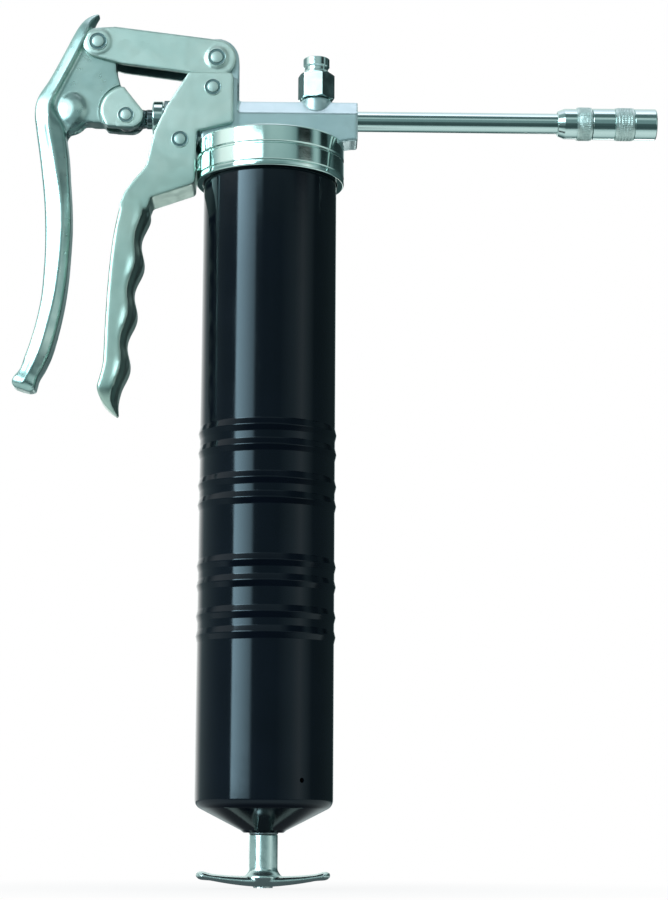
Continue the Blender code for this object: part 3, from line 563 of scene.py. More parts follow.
def arc(centre, radius, start, end, steps=12):
    """Points on an arc, angles in degrees from +X towards +Z."""
    turns = [math.radians(start + (end - start) * k / steps) for k in range(steps + 1)]
    return [(centre[0] + radius * math.cos(a), centre[1] + radius * math.sin(a)) for a in turns]


def axis_frame(along, at):
    """The place of a turned piece whose own axis is Z."""
    turn = Matrix.Identity(4)
    if along == "X":
        turn = Matrix.Rotation(math.pi / 2.0, 4, "Y")
    elif along == "Y":
        turn = Matrix.Rotation(-math.pi / 2.0, 4, "X")
    return Matrix.Translation(at) @ turn


def circle(bm, place, radius, height, steps):
    turns = [2.0 * math.pi * k / steps for k in range(steps)]
    return [bm.verts.new(place @ Vector((radius * math.cos(a), radius * math.sin(a), height)))
            for a in turns]


def band(bm, ring, after):
    """Faces between two rings, either of which may be a single point."""
    count = max(len(ring), len(after))
    for k in range(count if count > 1 else 0):
        j = (k + 1) % count
        if len(ring) == 1:
            bm.faces.new((ring[0], after[j], after[k]))
        elif len(after) == 1:
            bm.faces.new((ring[k], ring[j], after[0]))
        else:
            bm.faces.new((ring[k], ring[j], after[j], after[k]))


def revolve(bm, outline, along="Z", at=ORIGIN, steps=ROUND):
    """Turn a closed outline of (radius, height) about an axis.  Points on the axis close the ends."""
    place = axis_frame(along, at)
    rings = [circle(bm, place, radius, height, steps if radius > 1e-6 else 1)
             for radius, height in outline]
    for ring, after in zip(rings, rings[1:] + rings[:1]):
        band(bm, ring, after)


def turned_piece(name, outline, along="Z", at=ORIGIN, steps=ROUND):
    bm = bmesh.new()
    revolve(bm, outline, along, at, steps)
    return to_object(name, bm)


def slab(bm, outline, low, high):
    """An outline in the X-Z plane, drawn out along Y from low to high."""
    near = [bm.verts.new((x, low, z)) for x, z in outline]
    far = [bm.verts.new((x, high, z)) for x, z in outline]
    caps = [bm.faces.new(near), bm.faces.new(far)]
    band(bm, near, far)
    bm.normal_update()
    bmesh.ops.triangulate(bm, faces=caps)


def follow(stations, steps):
    """A smooth run of numbers through a list of stations (Catmull-Rom)."""
    run = []
    last = len(stations) - 1
    for i in range(last):
        p0, p1 = stations[max(i - 1, 0)], stations[i]
        p2, p3 = stations[i + 1], stations[min(i + 2, last)]
        for k in range(steps):
            t = k / steps
            run.append([0.5 * (2.0 * b + (c - a) * t + (2.0 * a - 5.0 * b + 4.0 * c - d) * t * t
                               + (3.0 * b - a - 3.0 * c + d) * t ** 3)
                        for a, b, c, d in zip(p0, p1, p2, p3)])
    run.append(list(stations[-1]))
    return run


def skin(bm, rings):
    """A closed skin over a run of rings of points."""
    rows = [[bm.verts.new(p) for p in ring] for ring in rings]
    for row, after in zip(rows[:-1], rows[1:]):
        band(bm, row, after)
    bm.faces.new(rows[0])
    bm.faces.new(rows[-1])


def oval(half_width, half_depth, squareness, around=32):
    """A rounded section (across, depth)."""
    points = []
    for k in range(around):
        a = 2.0 * math.pi * k / around
        c, s = math.cos(a), math.sin(a)
        points.append((half_width * math.copysign(abs(c) ** (2.0 / squareness), c),
                       half_depth * math.copysign(abs(s) ** (2.0 / squareness), s)))
    return points


def across(x, z, heading, section):
    """A section (across, depth) set square to a bar that runs in the X-Z plane."""
    side = Vector((math.cos(math.radians(heading)), 0.0, math.sin(math.radians(heading))))
    return [Vector((x, v, z)) + side * u for u, v in section]


def melt(name, bm, voxel, passes):
    """One casting from overlapping solids: a single skin with soft corners."""
    obj = to_object(name, bm)
    remesh = obj.modifiers.new("one_skin", "REMESH")
    remesh.mode = "VOXEL"
    remesh.voxel_size = voxel * MM
    soft = obj.modifiers.new("soft_corners", "SMOOTH")
    soft.factor = 0.5
    soft.iterations = passes
    return settle(obj)


def cut(obj, draw):
    """Take a drawn solid away from a piece."""
    bm = bmesh.new()
    draw(bm)
    combine(obj, to_object(obj.name + "_cutter", bm), "DIFFERENCE")
    bm = bmesh.new()
    bm.from_mesh(obj.data)
    bmesh.ops.remove_doubles(bm, verts=bm.verts, dist=0.002 * MM)
    open_edges = [e for e in bm.edges if len(e.link_faces) == 1]
    bmesh.ops.holes_fill(bm, edges=open_edges, sides=0)
    bm.to_mesh(obj.data)
    bm.free()


def bore(obj, radius, *centres):
    """Holes along Y through a casting."""
    outline = [(0.0, -20.0), (radius, -20.0), (radius, 20.0), (0.0, 20.0)]
    for x, z in centres:
        cut(obj, lambda bm: revolve(bm, outline, "Y", (x, 0.0, z), 40))


# ---- barrel ------------------------------------------------------------------------------------
def cone_z(radius):
    return CONE_BOTTOM + 1.0 + (radius - COLLAR_R) * CONE_SLOPE


def make_barrel():
    """The deep-drawn tube: rolled beads, a round shoulder and a spun cone with a short collar."""
    wall = [(BARREL_R, BARREL_TOP)]
    for pair in BEAD_PAIR_CENTRES:
        for centre in (pair + BEAD_PAIR_PITCH / 2.0, pair - BEAD_PAIR_PITCH / 2.0):
            wall += [(BARREL_R + BEAD_HEIGHT * rise, centre + BEAD_HALF_WIDTH * t)
                     for t, rise in BEAD_SHAPE]
    inner = BARREL_R - BARREL_WALL
    bush_r = ROD_R + 2.3
    cone = rounded([
        (BARREL_R, BARREL_BOTTOM + 12.0, 0.0),
        (BARREL_R, cone_z(BARREL_R) + 0.9, 4.2),
        (COLLAR_R, cone_z(COLLAR_R), 1.2),
        (COLLAR_R - 1.2, CONE_BOTTOM, 0.4),
        (bush_r, CONE_BOTTOM, 0.3),
        (bush_r, cone_z(COLLAR_R) + BARREL_WALL, 0.0),
        (BARREL_R - 3.0, cone_z(BARREL_R - 3.0) + BARREL_WALL + 0.2, 1.5),
        (inner, BARREL_BOTTOM + 4.0, 1.5),
        (inner, BARREL_BOTTOM + 12.0, 0.0)], 8)
    barrel = turned_piece("barrel", wall + cone + [(inner, BARREL_TOP)], steps=FINE_ROUND)
    turn = Matrix.Rotation(math.radians(VENT_HOLE_ANGLE), 4, "Z")

    def vent_hole(bm):
        rim = [(0.0, -BARREL_R - 2.0), (1.6, -BARREL_R - 2.0), (VENT_HOLE_R, -BARREL_R + 0.5),
               (VENT_HOLE_R, -BARREL_R + 3.0), (0.0, -BARREL_R + 3.0)]
        revolve(bm, rim, "Y", (0.0, 0.0, VENT_HOLE_Z), 24)
        bmesh.ops.transform(bm, matrix=turn, verts=bm.verts)

    cut(barrel, vent_hole)
    dress(barrel, "black", "gun", "barrel_tube", turned=True)


# ---- head --------------------------------------------------------------------------------------
def make_head():
    """The turned skirt, and the casting on it: pump body, saddle, valve boss, lug and tang."""
    groove = [(SKIRT_R, 308.0, 0.15), (SKIRT_R - 0.55, 307.5, 0.15), (SKIRT_R - 0.55, 306.9, 0.15),
              (SKIRT_R, 306.4, 0.15)]
    lip = [(SKIRT_R, 300.0, 0.1), (SKIRT_R - 0.4, 299.6, 0.1), (SKIRT_R, 299.1, 0.1)]
    outline = rounded(
        [(0.0, SKIRT_TOP + 0.4, 0.0), (24.0, SKIRT_TOP + 0.4, 1.0), (27.0, SKIRT_TOP, 1.0),
         (SKIRT_R, SKIRT_TOP, 1.0)] + groove + lip
        + [(SKIRT_R, SKIRT_BOTTOM, 0.7), (BARREL_R + GAP, SKIRT_BOTTOM, 0.3),
           (BARREL_R + GAP, 311.5, 0.0), (0.0, 311.5, 0.0)], 4)
    skirt = turned_piece("head_skirt", outline, steps=FINE_ROUND)
    dress(skirt, "skirt", "gun", "head_casting", turned=True)

    bm = bmesh.new()
    half_pump = [(2.6, PUMP_R, 1.2), (7.4, 1.2, 1.5), (7.4, -4.0, 2.0), (3.5, -PUMP_R, 2.0)]
    pump = rounded(half_pump + [(-y, z, r) for y, z, r in reversed(half_pump)], 5)
    skin(bm, [[Vector((x, y, AXIS_Z + z)) for y, z in pump] for x in (PUMP_LEFT, PUMP_RIGHT)])
    saddle = rounded([(-30.0, 314.6, 0.0), (29.0, 314.6, 3.0), (34.5, 315.6, 1.0),
                      (PUMP_RIGHT, 315.6, 0.8), (PUMP_RIGHT, AXIS_Z, 0.0), (-30.0, AXIS_Z, 0.0)])
    slab(bm, saddle, -7.4, 7.4)
    revolve(bm, [(0.0, 316.5), (13.0, 316.5), (17.0, 315.2), (17.0, 314.6), (0.0, 314.6)])
    boss = [(0.0, VALVE_HEX[0] - GAP), (6.5, VALVE_HEX[0] - GAP), (6.4, 333.0), (6.6, 329.0),
            (0.0, 329.0)]
    revolve(bm, boss, "Z", VALVE_AXIS, 48)
    lug_half = YOKE_HALF - CHEEK - GAP
    lug = rounded([(-14.3, 320.0, 0.0), (-14.3, 343.0, 2.0), (-33.2, 343.0, 2.0),
                   (-41.5, 330.0, 2.0), (-45.2, 322.0, 2.0), (-45.6, 310.0, 2.5),
                   (-33.2, 307.8, 1.0), (-31.9, 312.0, 0.5), (-31.0, 320.0, 0.0)])
    slab(bm, lug, -lug_half, lug_half)
    tang = [(-13.8, 329.0)] + arc(PIN_A, 9.6, 0.0, 180.0, 24) + [(-33.1, 329.0)]
    slab(bm, tang, -4.5, 4.5)
    head = melt("head_body", bm, 0.5, 5)
    head_bore = rounded([
        (0.0, PUMP_RIGHT + 2.0, 0.0), (TUBE_R + 1.3, PUMP_RIGHT + 2.0, 0.0),
        (TUBE_R + 1.0, PUMP_RIGHT - 0.2, 0.2), (TUBE_R + GAP, PUMP_RIGHT - 0.9, 0.2),
        (TUBE_R + GAP, 14.0, 0.0), (2.8, 14.0, 0.0), (2.8, 10.0, 0.0), (4.5, 10.0, 0.0),
        (4.5, -38.0, 0.0), (6.5, -38.0, 0.0), (6.5, PUMP_LEFT - 2.0, 0.0),
        (0.0, PUMP_LEFT - 2.0, 0.0)], 3)
    cut(head, lambda bm: revolve(bm, head_bore, "X", PUMP_AXIS, 48))
    valve_seat = [(0.0, 340.0), (4.3, 340.0), (4.3, AXIS_Z + 3.0), (0.0, AXIS_Z + 3.0)]
    cut(head, lambda bm: revolve(bm, valve_seat, "Z", VALVE_AXIS, 40))
    bore(head, PIN_R + 0.1, PIN_A)
    bore(head, RIVET_R + 0.1, RIVET_UPPER, RIVET_LOWER)
    dress(head, "satin", "gun", "head_casting")

    nut = rounded([(4.35, -42.9, 0.0), (6.2, -42.9, 0.0), (6.2, PUMP_LEFT - GAP, 0.0),
                   (PUMP_R, PUMP_LEFT - GAP, 0.4), (PUMP_R, -51.0, 0.9), (4.35, -51.0, 0.4)])
    gland = turned_piece("gland_nut", nut, "X", PUMP_AXIS, 64)
    dress(gland, "polish", "gun", "packing_nut", turned=True)


def make_valve():
    """The filler and bleed valve: a hexagon with round chamfers and a necked top."""
    low, high = VALVE_HEX
    corner = VALVE_FLATS / math.sqrt(3.0)
    hexagon = [(corner * math.cos(math.radians(a)), corner * math.sin(math.radians(a)), 0.25)
               for a in (VALVE_TURN + 60.0 * k for k in range(6))]
    bm = bmesh.new()
    skin(bm, [[Vector((VALVE_X + u, v, z)) for u, v in rounded(hexagon, 3)] for z in VALVE_HEX])
    valve = to_object("valve_body", bm)
    chamfer = [(0.0, high + 0.1), (6.9, high + 0.1), (corner + 0.4, high - 0.9),
               (corner + 0.4, low + 0.9), (6.9, low - 0.1), (0.0, low - 0.1)]
    neck = rounded([
        (0.0, VALVE_TOP - 1.9, 0.0), (3.2, VALVE_TOP - 1.9, 0.0), (3.5, VALVE_TOP, 0.2),
        (VALVE_NECK_R, VALVE_TOP, 0.4), (VALVE_NECK_R, VALVE_TOP - 3.6, 0.3),
        (VALVE_NECK_R - 0.6, VALVE_TOP - 4.1, 0.3), (VALVE_NECK_R - 0.6, high + 1.6, 0.3),
        (VALVE_NECK_R + 0.2, high + 1.0, 0.3), (VALVE_NECK_R + 0.2, high - 2.0, 0.0),
        (4.0, high - 4.0, 0.0), (4.0, 331.8, 0.3), (0.0, 331.8, 0.0)])
    for name, outline, operation in (("valve_chamfer", chamfer, "INTERSECT"),
                                     ("valve_neck", neck, "UNION")):
        combine(valve, turned_piece(name, outline, "Z", VALVE_AXIS, 64), operation)
    dress(valve, "polish", "gun", "filler_valve", turned=True)

    button = rounded([
        (0.0, VALVE_TOP - 0.7, 0.0), (BUTTON_R, VALVE_TOP - 0.8, 0.6),
        (BUTTON_R, VALVE_TOP - 1.8, 0.2), (1.6, VALVE_TOP - 1.8, 0.0), (1.6, 338.4, 0.3),
        (0.0, 337.6, 0.0)])
    pin = turned_piece("vent_pin", button, "Z", VALVE_AXIS, 40)
    dress(pin, "dark", "vent", "vent_button", turned=True)


# ---- grip --------------------------------------------------------------------------------------
def grip_wave(z):
    """1 on the crests between the fingers, -1 in the finger grooves."""
    return math.cos(2.0 * math.pi * (z - FINGER_CREST) / FINGER_PITCH)


def grip_front(z):
    return -54.9 - 0.115 * (FINGER_CREST - z) + 1.3 * grip_wave(z)


def grip_back(z):
    """The back of the grip: a slow curve that runs upright near the tail."""
    down = GRIP_TOP - z
    return -62.2 - 7.2 * (1.0 - math.exp(-down / 24.0)) - 0.004 * down


def grip_section(front, back, half, ridge, nose, reach):
    """A section with flat sides: a ridge, a hollow face behind the fingers and a narrow nose."""
    width = front - back
    shelf = min(reach, 0.42 * width)
    lip = 0.43 * shelf
    soft = min(1.0, width / 8.0)
    corners = [(front, -nose * 0.5, 0.0), (front, -nose, 0.9 * soft),
               (front - lip, -nose * 1.24, 0.5 * soft), (front - shelf, -half - ridge - 0.02, 0.7 * soft),
               (front - shelf - 0.24 * width, -half, 0.5 * soft), (back, -half, 1.2 * soft)]
    mirrored = [(u, -v, r) for u, v, r in reversed(corners)]
    return rounded(corners + mirrored, 4)


def make_grip():
    """The die-cast grip: a two-cheeked yoke that runs into a bar with four finger grooves."""
    bm = bmesh.new()
    outline = rounded([
        (-35.4, 344.7, 1.5), (-16.1, 344.7, 2.0), (-16.1, 322.4, 1.5), (-31.6, 318.4, 1.0),
        (-32.2, 295.1, 1.8), (-50.6, 288.6, 1.0), (-52.2, 284.0, 1.0), (-62.0, 281.0, 1.0),
        (-64.6, 284.0, 3.0), (-61.9, 291.0, 6.0), (-58.0, 296.6, 8.0), (-53.0, 302.5, 9.0),
        (-49.8, 318.0, 12.0), (-44.6, 329.6, 12.0)], 6)
    slab(bm, outline, -YOKE_HALF, YOKE_HALF)
    rings = []
    grooved, curled = 110, 14
    top = GRIP_TOP - 1.0
    for i in range(grooved + 1):
        z = top - (top - GRIP_TAIL) * i / grooved
        wave = grip_wave(z)
        swell = min(1.0, max(0.0, (286.0 - z) / 14.0))
        half = GRIP_HALF - 0.8 * (1.0 - swell)
        front = grip_front(z) - 1.2 * max(0.0, (z - 282.0) / 8.0)
        flare = 2.3 * max(0.0, (218.0 - z) / 11.0) ** 1.5
        back = grip_back(z) - flare + 0.8 * max(0.0, (z - 284.0) / 6.0)
        ridge = 0.45 * max(0.0, grip_wave(z + 2.0)) * swell
        section = grip_section(front, back, half, ridge, (0.46 + 0.04 * wave) * half,
                               2.7 + 0.5 * wave)
        rings.append([Vector((u, v, z)) for u, v in section])
    last_front, last_back = rings[-1][0].x, min(p.x for p in rings[-1])
    for i in range(1, curled + 1):
        t = i / curled
        z = GRIP_TAIL - (GRIP_TAIL - GRIP_BOTTOM - 1.4) * t
        front = last_front + (-62.9 - last_front) * t ** 0.7 - 0.7 * math.sin(math.pi * t)
        back = last_back + (-63.9 - last_back) * t ** 2.1
        half = GRIP_HALF * (1.0 - 0.72 * t ** 1.7)
        section = grip_section(front, back, half, 0.0, 0.46 * half, 2.8)
        rings.append([Vector((u, v, z)) for u, v in section])
    skin(bm, rings)
    grip = melt("grip_casting", bm, 0.55, 3)
    # Uneven hundredths keep the pocket's faces off the planes of the skin's own vertices.
    pocket = rounded([(-10.07, 352.0, 0.0), (-10.07, 303.03, 0.0), (-30.0, 303.03, 0.0),
                      (-50.0, 300.51, 3.0), (-70.13, 306.0, 0.0), (-70.13, 352.0, 0.0)])
    inner = YOKE_HALF - CHEEK + 0.013
    cut(grip, lambda bm: slab(bm, pocket, -inner, inner))
    bore(grip, RIVET_R + 0.1, RIVET_UPPER, RIVET_LOWER)
    dress(grip, "plate", "gun", "fixed_grip")


# ---- link, lever and pins ----------------------------------------------------------------------
def make_link():
    """A channel open underneath, with a raised ring round each pin."""
    bm = bmesh.new()
    outline = (arc(PIN_A, 8.3, -96.0, 83.0, 24) + [(-67.5, 365.9)] + arc(PIN_B, 6.6, 90.0, 262.0, 20)
               + [(-64.0, 349.1)])
    slab(bm, outline, -LINK_HALF, LINK_HALF)
    for centre, radius in ((PIN_A, 4.6), (PIN_B, 5.3)):
        ring = [(0.0, -LINK_HALF - 0.4), (radius, -LINK_HALF - 0.4), (radius, LINK_HALF + 0.4),
                (0.0, LINK_HALF + 0.4)]
        revolve(bm, ring, "Y", (centre[0], 0.0, centre[1]), 48)
    link = melt("link_channel", bm, 0.45, 3)
    inner = LINK_HALF - 2.2 + 0.013
    channel = [(-100.0, 330.0), (0.0, 330.0), (0.0, 380.0), (-34.6, 380.0), (-34.6, 360.5),
               (-63.5, 360.5), (-63.5, 380.0), (-100.0, 380.0)]
    cut(link, lambda bm: slab(bm, channel, -inner, inner))
    bore(link, PIN_R + 0.1, PIN_A, PIN_B)
    dress(link, "plate", "link", "link")
    # Painted shade: the faces inside the open channel get the dark tint, as the shade inside it.
    link.data.materials.append(materials["painted_shade"])
    for face in link.data.polygons:
        if abs(face.center.y) < (inner + 0.3) * MM and face.normal.z < 0.5:
            face.material_index = 1


def lever_section(half_width, half_depth, crest):
    """The palm bar's section: a broad face that slopes up from the palm edge to the crest, then a
    steeper face down to the finger edge."""
    front = [(-1.0, 0.52), (-0.97, 0.70), (-0.88, 0.775), (-0.40, 0.865), (crest - 0.14, 0.98),
             (crest, 1.0), (crest + 0.12, 0.97), (0.88, 0.76), (0.98, 0.66), (1.0, 0.50)]
    section = [(-half_width, 0.0)] + [(u * half_width, -v * half_depth) for u, v in front]
    back = [(u, -v) for u, v in reversed(section[1:])]
    return section + [(half_width, 0.0)] + back


def make_lever():
    """The squeeze lever: palm bar, web, cheek, pad and the forked lobe."""
    palm = follow([
        (-74.9, 373.0, -56.0, 0.5, 2.6, 0.4), (-76.7, 371.7, -52.0, 1.0, 4.2, 0.4),
        (-78.9, 369.2, -42.0, 1.8, 6.0, 0.5), (-80.8, 365.8, -32.0, 2.5, 7.4, 0.66),
        (-83.0, 361.0, -27.0, 2.9, 8.0, 0.72), (-87.2, 352.0, -26.0, 3.0, 8.2, 0.74),
        (-92.6, 341.0, -27.0, 3.1, 8.2, 0.74), (-96.8, 332.6, -23.0, 3.8, 8.4, 0.6),
        (-96.6, 326.3, -6.0, 5.0, 8.8, 0.3), (-94.8, 319.8, 5.0, 6.0, 9.0, 0.0),
        (-93.0, 309.0, 7.0, 6.1, 9.0, 0.05), (-91.8, 298.0, 6.0, 5.8, 9.0, 0.20),
        (-90.8, 287.5, 5.0, 5.65, 9.0, 0.34), (-90.3, 276.9, 2.0, 5.5, 9.0, 0.38),
        (-90.4, 266.0, -1.0, 5.2, 9.0, 0.36), (-90.9, 255.7, -4.0, 5.05, 9.0, 0.30),
        (-91.9, 245.0, -8.0, 4.8, 9.0, 0.24), (-93.8, 234.5, -14.0, 4.75, 9.0, 0.16),
        (-96.5, 224.0, -18.0, 4.8, 9.0, 0.16), (-98.9, 217.6, -24.0, 4.6, 8.6, 0.16),
        (-100.9, 213.0, -26.0, 4.2, 7.8, 0.1), (-102.7, 209.4, -22.0, 5.0, 8.0, 0.1),
        (-103.4, 207.3, -16.0, 5.0, 7.2, 0.0), (-103.7, 206.0, -16.0, 3.2, 4.8, 0.0)], 8)
    bm = bmesh.new()
    skin(bm, [across(x, z, heading, lever_section(half_width, half_depth, crest))
              for x, z, heading, half_width, half_depth, crest in palm])
    web = (arc(PIN_B, 7.4, 20.0, 110.0, 12)
           + [(-81.0, 364.0), (-89.0, 347.0), (-96.0, 330.0), (-92.0, 309.0), (-88.9, 309.0)]
           + arc(ARCH_AT, ARCH_R, 180.0, 75.0, 12)
           + [(-69.5, 323.0), (-65.0, 321.2)]
           + arc(FOOT_AT, FOOT_R, -100.0, 0.0, 10)
           + [LOBE_RIGHT, (-64.8, 339.8), (-66.6, 346.0)])
    slab(bm, web, -5.0, 5.0)
    cheek = [(0.0, 0.0), (10.4, 0.0), (9.8, 2.8), (8.0, 4.3), (5.0, 5.4), (2.0, 5.85), (0.0, 5.9)]
    for side in (-1.0, 1.0):
        count = len(bm.verts)
        revolve(bm, [(r, side * y) for r, y in cheek], "Y", (CHEEK_AT[0], 0.0, CHEEK_AT[1]), 40)
        bmesh.ops.rotate(bm, cent=(CHEEK_AT[0], 0.0, 0.0), verts=list(bm.verts)[count:],
                         matrix=Matrix.Rotation(math.radians(CHEEK_TILT * side), 3, "Z"))
    pad = (arc(PAD_AT, PAD_R, 95.0, 222.0, 20) + arc(FOOT_AT, FOOT_R, -100.0, 0.0, 10)
           + [LOBE_RIGHT, (-62.0, 337.4)])
    slab(bm, pad, -LOBE_HALF - 0.1, LOBE_HALF + 0.1)
    lever = melt("lever_casting", bm, 0.55, 6)
    moat = arc(PAD_AT, PAD_R + 1.2, 88.0, 228.0, 24) + arc(PAD_AT, PAD_R + 0.1, 228.0, 88.0, 24)
    for low, high in ((-9.0, -4.1), (4.1, 9.0)):
        cut(lever, lambda bm: slab(bm, moat, low, high))
    slot = ([(-40.0, 310.0), (-40.0, 345.0), (-62.0, 345.0)] + arc(PIN_C, 9.6, 100.0, 255.0, 20)
            + [(-62.0, 310.0)])
    cut(lever, lambda bm: slab(bm, slot, -2.4, 2.4))
    bore(lever, PIN_R + 0.1, PIN_B, PIN_C)
    dress(lever, "cast", "lever", "squeeze_lever")
    lever.data.materials.append(materials["plate"])
    lever.data.materials.append(materials["painted_shade"])
    for face in lever.data.polygons:
        out = math.hypot(face.center.x / MM - PAD_AT[0], face.center.z / MM - PAD_AT[1])
        if out < PAD_R + 0.1 and abs(face.center.y) > 5.0 * MM and abs(face.normal.y) > 0.6:
            face.material_index = 1
        # Painted shade: the downward faces under the arch get the dark tint, as the shade under it.
        under_arch = -88.4 < face.center.x / MM < -54.0 and 315.0 < face.center.z / MM < 325.5
        if under_arch and face.normal.z < -0.45:
            face.material_index = 2


def make_rivet(name, node_name, body, centre, half, head_r, shank):
    """A peened pin: at each end a low lip, a struck groove painted dark as the shade in it, and a flat
    button.
    """
    button = 0.62 * head_r
    side = [(shank, half + 0.12, 0.0), (head_r, half + 0.12, 0.05), (head_r, half + 0.42, 0.15),
            (head_r - 0.30, half + 0.42, 0.1), (head_r - 0.42, half + 0.16, 0.05),
            (button + 0.12, half + 0.16, 0.05), (button, half + 0.62, 0.25), (0.0, half + 0.70, 0.0)]
    mirrored = [(r, -h, c) for r, h, c in reversed(side)]
    rivet = turned_piece(name, rounded(mirrored + side, 3), "Y", (centre[0], 0.0, centre[1]), 40)
    dress(rivet, "pin", body, node_name, turned=True)
    rivet.data.materials.append(materials["painted_shade"])
    # Painted shade: the faces of the struck groove get the dark tint.
    for face in rivet.data.polygons:
        out = math.hypot(face.center.x - centre[0] * MM, face.center.z - centre[1] * MM) / MM
        if button + 0.02 < out < head_r - 0.28 and abs(face.center.y) > half * MM:
            face.material_index = 1


def make_pins():
    link_face = LINK_HALF + 0.5
    for pin in (("rivet_upper", "yoke_rivet_upper", "gun", RIVET_UPPER, YOKE_HALF, 3.7, RIVET_R),
                ("rivet_lower", "yoke_rivet_lower", "gun", RIVET_LOWER, YOKE_HALF, 3.7, RIVET_R),
                ("head_pin", "link_head_pin", "gun", PIN_A, link_face, 4.0, PIN_R),
                ("lever_pin", "link_lever_pin", "link", PIN_B, link_face, 4.0, PIN_R),
                ("plunger_pin_peened", "plunger_pin", "lever", PIN_C, LOBE_HALF + 0.1, 3.6, PIN_R)):
        make_rivet(*pin)


def make_plunger():
    """The ground plunger with its flat tongue."""
    bm = bmesh.new()
    rod = rounded([(0.0, 0.0, 0.0), (PLUNGER_R, 0.0, 0.5), (PLUNGER_R, -53.6, 0.3),
                   (0.0, -53.6, 0.0)])
    revolve(bm, rod, "X", PUMP_AXIS, 48)
    tongue = [(-52.0, AXIS_Z - 3.3), (-52.0, AXIS_Z + 3.3)] + arc(PIN_C, 5.3, 60.0, 300.0, 24)
    slab(bm, tongue, -1.95, 1.95)
    plunger = melt("plunger_rod", bm, 0.42, 2)
    bore(plunger, PIN_R + 0.8, PIN_C)
    dress(plunger, "dark", "plunger", "plunger")


# ---- outlet ------------------------------------------------------------------------------------
def knurl(name, node_name, ends, radius, inner):
    """A diamond-knurled band along X, with plain ends and a plain bore."""
    bm = bmesh.new()
    low, high = ends
    rows, around = 44, KNURL_TEETH * 5
    place = axis_frame("X", PUMP_AXIS)
    rings = []
    for i in range(rows + 1):
        x = low + (high - low) * i / rows
        fade = min(1.0, 6.0 * min(i, rows - i) / rows)
        lead = (x - low) * KNURL_TEETH / radius
        ring = []
        for k in range(around):
            a = 2.0 * math.pi * k / around
            tooth = KNURL_TEETH * a / 2.0
            peak = min(abs(math.sin(tooth + lead)), abs(math.sin(tooth - lead)))
            r = radius - KNURL_DEPTH * (1.0 - peak * fade)
            ring.append(bm.verts.new(place @ Vector((r * math.cos(a), r * math.sin(a), x))))
        rings.append(ring)
    rings += [circle(bm, place, inner, x, around) for x in (high, low)]
    for ring, after in zip(rings, rings[1:] + rings[:1]):
        band(bm, ring, after)
    dress(to_object(name, bm), "knurl", "gun", node_name)


def make_outlet():
    """The rigid tube and the coupler: smooth barrels between two knurled bands."""
    start, end = TUBE_ENDS
    rear, front = COUPLER_ENDS
    tube = rounded([(TUBE_R, end, 0.4), (TUBE_R, start, 0.4), (TUBE_BORE_R, start, 0.3),
                    (TUBE_BORE_R, end, 0.3)])
    body = rounded([
        (5.5, 143.4, 0.3), (5.5, 139.3, 0.0), (6.4, 139.1, 0.0), (6.4, 132.3, 0.0),
        (COUPLER_R - 0.2, 132.3, 0.2), (COUPLER_R - 0.2, 127.2, 0.4), (5.4, rear, 0.5),
        (TUBE_R + GAP, rear, 0.2), (TUBE_R + GAP, 129.0, 0.0), (2.6, 129.0, 0.2),
        (2.6, 143.4, 0.2)])
    sleeve = rounded([
        (COUPLER_R, front, 0.7), (COUPLER_R, 157.6, 0.2), (6.2, 157.4, 0.0), (6.2, 149.1, 0.0),
        (COUPLER_R, 148.9, 0.2), (COUPLER_R, 139.3, 0.4), (5.8, 139.3, 0.2), (5.8, 157.6, 0.0),
        (5.1, 158.4, 0.2), (5.1, front, 0.4)])
    for name, node_name, outline, steps, teeth in (
            ("tube_drawn", "delivery_tube", tube, 64, None),
            ("coupler_rear", "coupler_body", body, ROUND, (REAR_KNURL, BAND_R, 6.45)),
            ("coupler_front", "coupler_sleeve", sleeve, ROUND, (FRONT_KNURL, BAND_R - 0.1, 6.25))):
        piece = turned_piece(name, outline, "X", PUMP_AXIS, steps)
        dress(piece, "polish", "gun", node_name, turned=True)
        if teeth is not None:
            knurl(name + "_knurl", node_name, *teeth)


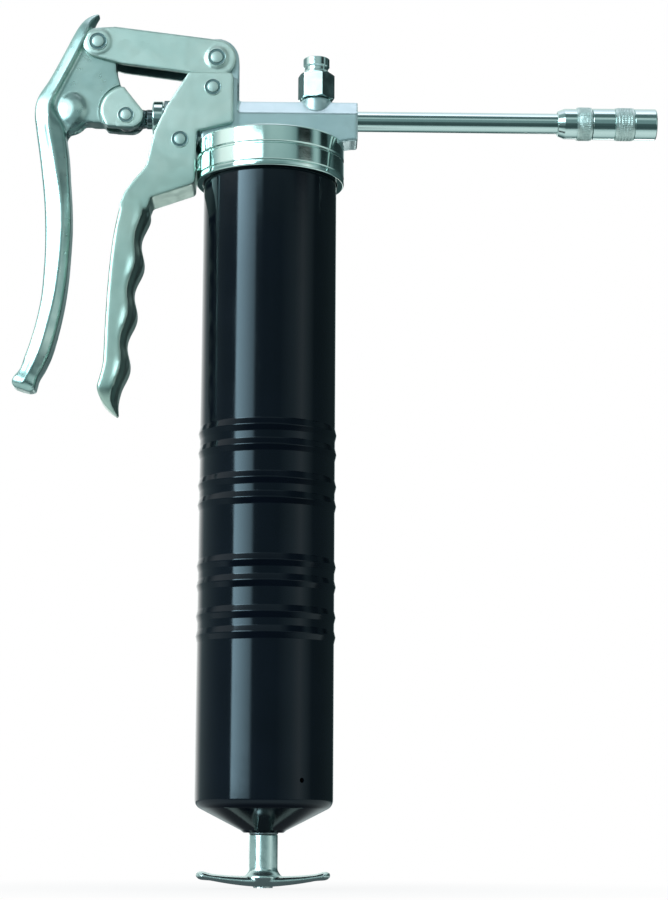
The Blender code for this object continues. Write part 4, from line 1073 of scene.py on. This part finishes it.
# ---- pull handle and spring --------------------------------------------------------------------
def make_handle():
    """The T handle: a bowed bar with turned-up ends under a hollow stem."""
    bm = bmesh.new()
    bar = []
    stations = 48
    for i in range(stations + 1):
        x = -HANDLE_HALF + 2.0 * HANDLE_HALF * i / stations
        out = abs(x) / HANDLE_HALF
        z = 2.6 + HANDLE_BOW * out ** 2
        slope = math.degrees(math.atan(2.0 * HANDLE_BOW * x / HANDLE_HALF ** 2))
        end = math.sqrt(max(0.0, 1.0 - ((out - 0.90) / 0.10) ** 2)) if out > 0.90 else 1.0
        thick = (2.3 - 1.2 * out + 0.9 * max(0.0, out - 0.78) / 0.22) * max(0.35, end)
        deep = (6.8 - 1.2 * out) * max(0.35, end)
        bar.append(across(x, z, 90.0 + slope, oval(thick, deep, 2.6)))
    skin(bm, bar)
    revolve(bm, rounded([
        (0.0, CONE_BOTTOM - 0.5, 0.0), (STEM_R, CONE_BOTTOM - 0.5, 0.4), (STEM_R, 7.0, 3.0),
        (STEM_R + 1.7, 4.6, 1.0), (STEM_R + 0.9, 1.4, 1.5), (5.0, 0.6, 0.5), (0.0, 0.6, 0.0)]),
        steps=64)
    handle = melt("handle_forged", bm, 0.4, 3)
    hole = [(0.0, -5.0), (ROD_R + 0.2, -5.0), (ROD_R + 0.2, 30.0), (0.0, 30.0)]
    cut(handle, lambda bm: revolve(bm, hole, steps=48))
    dress(handle, "bright", "rod", "pull_handle")


def wound(name, radius, wire, low, high, turns, at=ORIGIN, per_turn=24, around=10):
    """A helical spring along Z, with its end turns a little closer together."""
    rings = []
    count = turns * per_turn
    for i in range(count + 1):
        t = i / count
        turn = turns * t
        rise = t + 0.018 * math.sin(2.0 * math.pi * t)
        a = 2.0 * math.pi * turn
        centre = Vector((radius * math.cos(a), radius * math.sin(a), low + (high - low) * rise))
        out = Vector((math.cos(a), math.sin(a), 0.0))
        rings.append([centre + out * (wire * math.cos(b)) + Vector((0.0, 0.0, wire * math.sin(b)))
                      for b in (2.0 * math.pi * k / around for k in range(around))])
    bm = bmesh.new()
    skin(bm, rings)
    bmesh.ops.translate(bm, verts=bm.verts, vec=at)
    return to_object(name, bm)


def make_springs():
    spring = wound("follower_coil", SPRING_R, SPRING_WIRE, SPRING_ENDS[0], SPRING_ENDS[1],
                   SPRING_TURNS)
    dress(spring, "spring", "gun", "follower_spring")
    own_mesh(spring)
    vent = wound("vent_coil", VENT_SPRING_R, VENT_SPRING_WIRE, VENT_SPRING_BOTTOM,
                 VALVE_TOP - 3.3, VENT_SPRING_TURNS, VALVE_AXIS, 16, 8)
    dress(vent, "spring", "gun", "vent_spring")
    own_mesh(vent)


def dress_inner_parts():
    """The pieces inside keep their CAD shape and get a finish."""
    finishes = {
        "rubber": ("barrel_gasket", "plunger_packing", "coupler_seal", "piston_cup"),
        "dark": ("rod_guide_bush", "coupler_jaw_1", "coupler_jaw_2", "coupler_jaw_3"),
        "pin": ("follower_rod", "piston_plate", "piston_washer", "rod_nut"),
        "polish": ("check_ball",),
        "spring": ("check_spring",)}
    for finish, names in finishes.items():
        for name in names:
            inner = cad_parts[name].data
            inner.materials.clear()
            inner.materials.append(materials[finish])


add_camera()
add_world()
add_floor()
materials = make_materials()
make_barrel()
make_head()
make_valve()
make_grip()
make_link()
make_lever()
make_pins()
make_plunger()
make_outlet()
make_handle()
make_springs()
dress_inner_parts()
